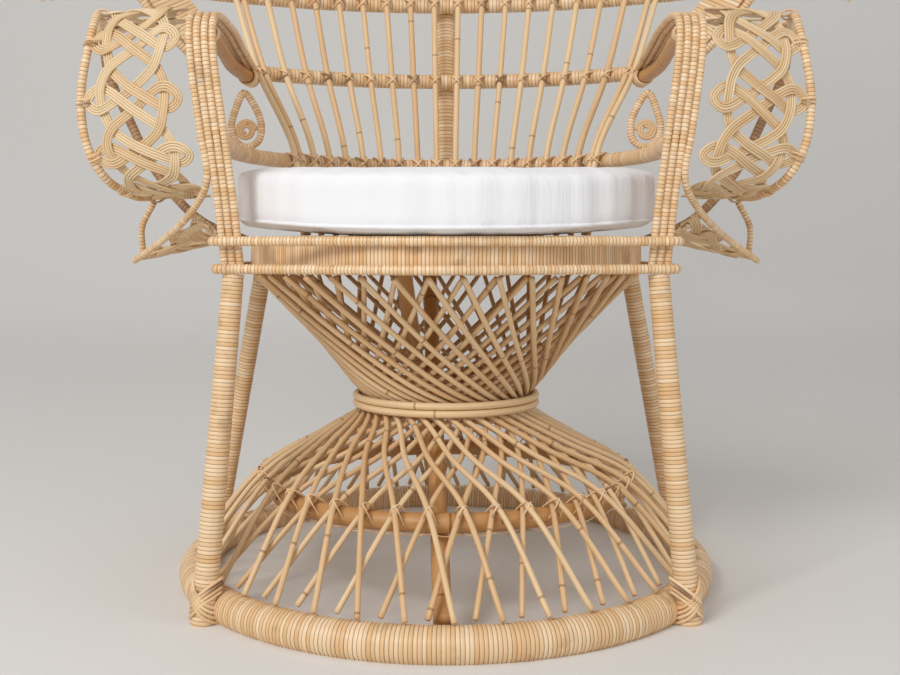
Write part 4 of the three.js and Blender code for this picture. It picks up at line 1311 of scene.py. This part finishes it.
# %% Wings' edges
wing_shares = [
    # depth and height as on the arm, then how far the inner and the outer edge stand out
    (0.8, 1.12, 0.88, 1.19),
    (0.62, 1.1, 0.83, 1.12),
    (0.3, 1.06, 0.75, 1.03),
    (0.09, 1.01, 0.722, 0.985),
    (0.01, 0.86, 0.716, 0.985),
    (0, 0.68, 0.706, 1),
    (0, 0.5, 0.684, 0.985),
    (0.03, 0.375, 0.668, 0.945),
    (0.15, 0.31, 0.68, 0.9),
    (0.33, 0.31, 0.7, 0.88),
]
wing_sweep = 0.1
wing_row = 0.083
wing_rod, wing_strip = 0.009, 0.0043
wing_inner_margin, wing_outer_margin = -0.003, 0.0015
tail_cane, tail_strip = 0.007, 0.0040
tail_low_gap, tail_high_gap = 0.0010, 0.0014


def wing_edge(which):
    """The right wing's inner or outer edge."""
    edge = []
    span = mid_rail_reach - mid_rail_sag + arm_forward
    for depth, height, inner_out, outer_out in wing_shares:
        out = inner_out if which == "inner" else outer_out
        sweep = 0 if which == "inner" else wing_sweep
        y = axis_y - arm_forward + (depth + sweep) * span
        edge.append((wing_out * out, y, seat_low + height * (arm_height - seat_low)))
    return through(edge)


def tail_line(top):
    """The thin rod between the wings, from the lower wing's edge up to the end of the wing's rod."""
    x, y, z = lower_edge()[4]
    low = np.array([x, y, z + arm_cane / 2 + tail_low_gap])
    high = np.array([top[0], top[1], top[2] - wing_rod / 2 - tail_high_gap])
    return through([low, (low + high) / 2 + np.array([tail_cane, 0, 0]), high])


def reader(line):
    """A line as a function of a share of its points, as the two edges of a strip are paired."""
    places = np.linspace(0, 1, len(line))
    return lambda u: np.array([np.interp(u, places, line[:, k]) for k in range(3)])


print("a wing's outer edge is", round(float(lengths_of(wing_edge("outer"))[-1]), 3), "m long")

# %% [markdown]
# A thick brace of older peel bends outwards from the seat rail to the wing. Its peel is drawn darker,
# partly for its age and partly as painted shade, because it stands in shadow behind the weave. Beside it
# the lower wing fills the place between the upper seat rail and the fourth arm cane. Its weave is the
# same, with closer rows.

# %% Braces' and lower wings' edges
brace_cane, brace_strip = 0.011, 0.0048
brace_shares = [
    # how far out, how far back of the middle, and how high above the seat
    (0, 0.14, 0),
    (0.42, 0.2, 0.11),
    (0.8, 0.27, 0.36),
    (1.03, 0.29, 0.63),
    (1.2, 0.29, 0.87),
    (1.24, 0.3, 1.04),
]
lower_wing_row = 0.052
lower_wing_forward, lower_wing_depth = 0.120, 0.190
rail_out = seat_outer + rail_cane + gap


def brace_line():
    """The right brace, from the upper seat rail outwards and up to the wing."""
    foot = math.sqrt(rail_out**2 - (brace_shares[0][1] * arm_forward) ** 2) + gap
    low = seat_high - rail_cane / 2 - gap
    points = []
    for out, back, up in brace_shares:
        x = foot + out * (wing_out - foot)
        points.append((x, axis_y + back * arm_forward, low + up * (arm_height - low)))
    return through(points)


def lower_wing_edges():
    """The right lower wing's edges: beside the upper seat rail, and along the fourth arm cane."""
    outer = np.array(lower_edge()[1:])
    starts = axis_y - lower_wing_forward + lower_wing_depth * np.linspace(0, 1, len(outer))
    inner = [(rail_out + rail_cane / 2, y, seat_high) for y in starts]
    return through(inner), through(outer)


print("a brace is", round(float(lengths_of(brace_line())[-1]), 3), "m long")

# %% [markdown]
# Both hands are alike, so the right-hand lines are mirrored for the left. Each hand gets its wing's rods
# and weave with the rings that tie it, then the brace and the lower wing.

# %% Wings, braces and lower wings
for hand, side in hands.items():
    inner, outer = (turned_left(wing_edge(which), side) for which in ("inner", "outer"))
    tail = wound(turned_left(tail_line(wing_edge("outer")[-1]), side), tail_cane, tail_strip)
    rod = wound(outer, wing_rod, wing_strip)
    place_rods(f"wrapped_wing_rod_{hand}", [rod, tail], 10, peel, [f"wing_rod_{hand}"])
    length = float(lengths_of((inner + outer) / 2)[-1])
    rows = round(length / wing_row)
    margins = (wing_inner_margin, wing_outer_margin)
    reeds = woven(reader(inner), reader(outer), length, rows, *margins)
    nodes = [f"wing_strand_over_{hand}", f"wing_strand_under_{hand}"]
    place_rods(f"wing_reeds_{hand}", reeds, 6, reed, nodes)
    rings = edge_ties(reader(outer), reader(inner), rows, wing_rod)
    place_rods(f"wing_ties_{hand}", rings, 6, peel)

    # The brace's peel is darkened partly by age and partly as painted shade.
    rod = wound(turned_left(brace_line(), side), brace_cane, brace_strip)
    place_rods(f"wrapped_brace_{hand}", [rod], 12, aged_and_shaded_peel, [f"wing_brace_{hand}"])

    inner, outer = (turned_left(line, side) for line in lower_wing_edges())
    length = float(lengths_of((inner + outer) / 2)[-1])
    rows = round(length / lower_wing_row)
    reeds = woven(reader(inner), reader(outer), length, rows, 0.0, arm_cane / 2)
    place_rods(f"lower_wing_reeds_{hand}", reeds, 6, reed, [f"lower_wing_strand_{hand}"])

# %% [markdown]
# A bare pole lies under the four canes of each arm and carries them from the mid rail to the front, where
# it is cut thin. Below the mid rail's end a pear-shaped loop of wrapped cane, with a coil inside it,
# fills the corner above the low rail. The loop is closed, so its line runs a little past its start on
# both sides and is cut there, which makes it smooth at the join.

# %% Arm poles and loops
arm_pole = 0.019
arm_pole_taper = 0.62
arm_pole_line = [
    # sideways, back of the axis and up
    (0.256, 0.176, 0.5975),
    (0.2635, 0.090, 0.5995),
    (0.2570, 0.0, 0.6010),
    (0.2480, -0.080, 0.6010),
    (0.2430, -0.145, 0.5980),
]
loop_cane, loop_strip = 0.0092, 0.0036
loop_back = 0.0975
loop_line = [
    # sideways and up
    (0.2480, 0.5005),
    (0.2620, 0.5080),
    (0.2675, 0.5240),
    (0.2630, 0.5460),
    (0.2520, 0.5680),
    (0.2390, 0.5520),
    (0.2305, 0.5290),
    (0.2335, 0.5090),
]
coil_cane = 0.0045
coil_middle = (0.2495, 0.5215)
coil_points, coil_points_per_turn = 34, 12
coil_start, coil_growth = 0.0035, 0.0095
for hand, side in hands.items():
    line = through([(side * x, axis_y + back, z) for x, back, z in arm_pole_line])
    rod = bare(line, arm_pole, step=0.005, end_diameter=arm_pole * arm_pole_taper)
    place_rods(f"bare_arm_pole_{hand}", [rod], 14, pole)

    corners = loop_line + loop_line[:3]
    line = through([(side * x, axis_y + loop_back, z) for x, z in corners], 10)[10:-10]
    loop = wound(line, loop_cane, loop_strip)
    place_rods(f"wrapped_loop_{hand}", [loop], 10, peel, [f"scroll_{hand}"])
    coil = []
    for i in range(coil_points):
        turn = 2 * math.pi * i / coil_points_per_turn
        radius = coil_start + coil_growth * i / (coil_points - 1)
        x = coil_middle[0] + radius * math.sin(turn)
        coil.append((side * x, axis_y + loop_back, coil_middle[1] - radius * math.cos(turn)))
    place_rods(f"bare_coil_{hand}", [bare(coil, coil_cane, step=0.003)], 8, thin_cane)

# %% [markdown]
# The ends of the arm poles are held by a lashing of peel, wound turn beside turn, and at the feet of the
# front legs crossed strips tie the leg to the ring. The lashing is a spiral round the pole's line. The
# crossed strips are the same ties as on the ribs, larger and one above the other.

# %% Lashings
lash_strip, lash_width = 0.0030, 0.92
rear_lash_shares, front_lash_shares = (0.02, 0.3), (0.1, 0.35)
rear_lash_radius = arm_pole / 2 + 0.0016
front_lash_radius = arm_pole / 2 * 0.75 + 0.0014
foot_tie_rises = (0.020, 0.0245, 0.029, 0.0335)
foot_tie_stand_off = 0.0018
foot_tie_outwards, foot_tie_forwards = 0.35, 0.94
foot_tie = {"reach": 0.0155, "drop": 0.004, "strip": 0.0036}


def lashing(start, end, shares, radius):
    """A strip of peel wound round a part of the way between two points."""
    spots = [np.array(start) * (1 - share) + np.array(end) * share for share in shares]
    line = through(spots, 12)
    total = lengths_of(line)[-1]
    turns = max(2, round(total / lash_strip))
    centres = at_lengths(line, np.linspace(0, total, turns * 14 + 1))
    forward = unit(np.gradient(centres, axis=0))
    first = unit(np.cross(forward, (0, 0, 1.0)))
    second = np.cross(forward, first)
    angle = np.linspace(0, 2 * math.pi * turns, len(centres))[:, None]
    around = first * np.cos(angle) + second * np.sin(angle)
    return bare(centres + radius * around, lash_strip * lash_width, step=0.004)


lashes = []
for side in hands.values():
    spots = [(side * x, axis_y + back, z) for x, back, z in arm_pole_line]
    lashes.append(lashing(spots[0], spots[1], rear_lash_shares, rear_lash_radius))
    lashes.append(lashing(spots[-1], spots[-2], front_lash_shares, front_lash_radius))
for hand, side in hands.items():
    foot, top, foot_size = legs[f"front_{hand}"][:3]
    up = unit(np.subtract(top, foot))
    out = np.array([foot_tie_outwards * side, -foot_tie_forwards, 0])
    over = foot_size / 2 + foot_tie_stand_off
    for rise in foot_tie_rises:
        lashes += cross_tie(np.array(foot) + up * rise, up, np.cross(out, up), out, rise=over, **foot_tie)
place_rods("end_lashings", lashes, 6, peel)

# %% [markdown]
# The cushion is a flat round box of cotton round a fibre filling. A profile is spun to a disc, narrowed
# at the back where the ribs stand, and filled by Blender's cloth with a little pressure, so that its
# sides belly out and its top edge goes soft. A round box with a large bevel would look turned on a lathe.
# The cover is remeshed first, because cloth needs even faces.

# %% Cushion
cushion_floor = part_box("cushion")[0].z
cushion_radius = 0.246
cushion_back = 0.203
narrow_start, narrow_length = 96, 22
cover_outline = [
    # how far inside the round outline, and how high above the deck
    (cushion_radius, 0.001),
    (0.0300, 0.001),
    (0.0065, 0.003),
    (0.0015, 0.010),
    (0.0015, 0.052),
    (0.0065, 0.059),
    (0.0300, 0.062),
    (cushion_radius, 0.066),
]
cover_voxel = 0.006
filling_pressure = 4.0
filling_frames = 20
swelling_limit = 0.005


def narrowed(mesh):
    """The round outline, drawn in towards the back."""
    for vertex in mesh.vertices:
        x, y = vertex.co.x, vertex.co.y - axis_y
        from_front = 180 - abs(math.degrees(math.atan2(x, y)))
        towards_back = eased((from_front - narrow_start) / narrow_length)
        share = 1 - towards_back * (1 - cushion_back / cushion_radius)
        vertex.co.x *= share
        vertex.co.y = axis_y + y * share


def apply_modifier(piece, name):
    bpy.ops.object.select_all(action="DESELECT")
    piece.select_set(True)
    bpy.context.view_layer.objects.active = piece
    bpy.ops.object.modifier_apply(modifier=name)


profile = [(cushion_radius - inside, cushion_floor + up) for inside, up in cover_outline]
cover = spun("cushion_cover", profile, 96, closed=False)
narrowed(cover)
cushion = place("cushion_cover", cover, cotton, ["cushion"], body="cushion")
remesh = cushion.modifiers.new("remesh", "REMESH")
remesh.mode = "VOXEL"
remesh.voxel_size = cover_voxel
apply_modifier(cushion, "remesh")
start = np.array([v.co for v in cushion.data.vertices])
cloth = cushion.modifiers.new("cloth", "CLOTH")
cloth.settings.use_pressure = True
cloth.settings.uniform_pressure_force = filling_pressure
cloth.settings.effector_weights.gravity = 0.0
cloth.settings.quality = 5
for number in range(1, filling_frames + 1):
    bpy.context.scene.frame_set(number)
apply_modifier(cushion, "cloth")
bpy.context.scene.frame_set(1)
moved = np.array([v.co for v in cushion.data.vertices]) - start
size = np.linalg.norm(moved, axis=1, keepdims=True)
swollen = start + moved * np.minimum(1, swelling_limit / np.maximum(size, 1e-9))
swollen[:, 2] = np.maximum(swollen[:, 2], cushion_floor)
cushion.data.vertices.foreach_set("co", swollen.ravel())
cushion.data.shade_smooth()
smooth = cushion.modifiers.new("smooth", "SUBSURF")
smooth.levels = 1
smooth.render_levels = 1
print("cushion cover", len(cushion.data.polygons), "faces after the remesh")

# %% [markdown]
# The piping is a cord in a strip of the same cotton, sewn into the lower seam, so it follows the filled
# cover's outline. Then the whole cushion settles into its place: the cover creases near its edge, its
# sides rise a little where they lie on the feet of the arm canes, and they are pressed flat between the
# arms. The same small change is made to the cover and to the piping, so that they stay together.

# %% Piping and settling
piping = 0.0042
piping_height = 0.007
piping_sunk = 0.25
seam_band, seam_window = 0.005, 2.5
cushion_half = 0.2335
press_start = 0.96
side_lift = 0.015
crease_depth = 0.0017
crease_start = 0.85
long_waves, short_waves, fine_waves, fine_share = 7, 19, 41, 0.6


def seam_at(height):
    """The cover's outline at a height, where a seam and its piping run."""
    spots = np.array([v.co for v in cushion.data.vertices])
    spots = spots[abs(spots[:, 2] - height) < seam_band]
    angles = np.degrees(np.arctan2(spots[:, 0], axis_y - spots[:, 1])) % 360
    radii = np.hypot(spots[:, 0], spots[:, 1] - axis_y)
    outline = []
    for i in range(120):
        near = abs((angles - 3 * i + 180) % 360 - 180) < seam_window
        outline.append(radii[near].max())
    outline = np.array(outline)
    outline = (np.roll(outline, 1) + outline * 2 + np.roll(outline, -1)) / 4
    return [polar(outline[i % 120] - piping * piping_sunk, 3 * i, height) for i in range(121)]


def settle(mesh):
    """Creases the cover, props up its sides and presses them flat between the arms."""
    pressed_from = press_start * cushion_half
    room = cushion_half - pressed_from
    for vertex in mesh.vertices:
        x, y = vertex.co.x, vertex.co.y - axis_y
        reach = max(math.hypot(x, y), 1e-6)
        turn = math.atan2(x, -y)
        crease = math.sin(short_waves * turn) * math.sin(long_waves * turn + 1)
        crease += fine_share * math.sin(fine_waves * turn + 2)
        crease *= crease_depth * max(0, reach / cushion_radius - crease_start) / (1 - crease_start)
        vertex.co.x += x / reach * crease
        vertex.co.y += y / reach * crease
        vertex.co.z += side_lift * min(1, abs(x) / cushion_radius) ** 2.6
        past = max(0, abs(vertex.co.x) - pressed_from) / room
        if past > 0:
            vertex.co.x = math.copysign(pressed_from + room * (1 - math.exp(-past)), x)


seam = wound(through(seam_at(cushion_floor + piping_height), 2), piping, 0.006)
piping_mesh = rod_mesh("cushion_piping", [seam], 8, True)
settle(piping_mesh)
settle(cushion.data)
place("cushion_piping", piping_mesh, cotton, (), "cushion")

# %% [markdown]
# The deck under the cushion is a flat board of cane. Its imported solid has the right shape, so it stays
# and only gets a finish: strips of cane that cross at right angles.

# %% Seat deck
deck_strip = 0.006
deck_depth = 0.001


def woven_deck(name):
    material, tree, shader = new_material(name, roughness=0.55)
    place_socket = add_node(tree, "TexCoord", output="Object")
    squares = {"Vector": place_socket, "Scale": 1 / deck_strip}
    shades = {"Color1": linear("#d8b37a"), "Color2": linear("#bf9357")}
    colour = add_node(tree, "TexChecker", {**squares, **shades}, "Color")
    tree.links.new(colour, shader.inputs["Base Color"])
    height = colour.node.outputs["Fac"]
    relief = {"Height": height, "Distance": deck_depth}
    tree.links.new(add_node(tree, "Bump", relief), shader.inputs["Normal"])
    print(name, len(tree.nodes), "nodes")
    return material


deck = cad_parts["seat_deck"]
deck.data.materials.clear()
deck.data.materials.append(woven_deck("cane webbing"))

# %% [markdown]
# The stage is a plain pale floor that curves up into a backdrop, so no horizon shows. A plane and a wall
# would leave a line between them, so a profile is drawn out sideways and smoothed. Seen from behind the
# backdrop is clear, because a camera behind the chair would otherwise stand behind the wall.

# %% Stage
stage_half_width = 5
stage_profile = [
    # place along the floor and height
    (-4.0, 0.0),
    (1.6, 0.0),
    (2.1, 0.12),
    (2.4, 0.5),
    (2.5, 1.0),
    (2.5, 4.0),
]


def floor_paint(name):
    material, tree, shader = new_material(name, roughness=0.9, specular=0.2)
    shader.inputs["Base Color"].default_value = linear("#e4e2de")
    behind = add_node(tree, "NewGeometry", output="Backfacing")
    clear = add_node(tree, "BsdfTransparent")
    seen = add_node(tree, "MixShader", {0: behind, 1: shader.outputs[0], 2: clear})
    tree.links.new(seen, tree.nodes["Material Output"].inputs["Surface"])
    print(name, len(tree.nodes), "nodes")
    return material


shell = bmesh.new()
corners = [shell.verts.new((-stage_half_width, y, z)) for y, z in stage_profile]
edges = [shell.edges.new(pair) for pair in zip(corners, corners[1:])]
drawn = bmesh.ops.extrude_edge_only(shell, edges=edges)
far_side = [item for item in drawn["geom"] if isinstance(item, bmesh.types.BMVert)]
bmesh.ops.translate(shell, verts=far_side, vec=(2 * stage_half_width, 0, 0))
shell.normal_update()
turned = [face for face in shell.faces if face.normal.z - face.normal.y < 0]
bmesh.ops.reverse_faces(shell, faces=turned)
floor_mesh = finished(shell, "floor")
floor_mesh.shade_smooth()
floor_mesh.materials.append(floor_paint("floor paint"))
floor = bpy.data.objects.new("floor", floor_mesh)
bend = floor.modifiers.new("bend", "SUBSURF")
bend.levels = 3
bend.render_levels = 3
bpy.context.scene.collection.objects.link(floor)
print("floor", len(floor_mesh.polygons), "faces before it is smoothed")

# %% [markdown]
# The light is a large soft lamp from the upper left and a weaker one from the right, with an even pale
# sky. A sun would give hard shadows, and the photograph shows only a faint soft one.

# %% Light
lamps = {
    # place from the chair's axis, width of the square and power in watts
    "key": ((-1.5, -2.4, 2.3), 1.3, 60),
    "fill": ((2.2, -1.8, 1.2), 1.8, 9),
}
lamps_aim = Vector((0, axis_y, 0.45))
sky_strength = 0.55
for name, ((x, y, z), size, power) in lamps.items():
    data = bpy.data.lights.new(name, "AREA")
    data.shape = "SQUARE"
    data.size = size
    data.energy = power
    lamp = bpy.data.objects.new(name, data)
    lamp.location = (x, axis_y + y, z)
    lamp.rotation_euler = (lamps_aim - lamp.location).to_track_quat("-Z", "Y").to_euler()
    bpy.context.scene.collection.objects.link(lamp)

world = bpy.data.worlds.new("sky")
world.use_nodes = True
world.node_tree.nodes["Background"].inputs["Color"].default_value = linear("#f6f6f8")
world.node_tree.nodes["Background"].inputs["Strength"].default_value = sky_strength
bpy.context.scene.world = world
bpy.context.scene.view_settings.view_transform = "Standard"
print("lamps", list(lamps), "and a sky of strength", sky_strength)
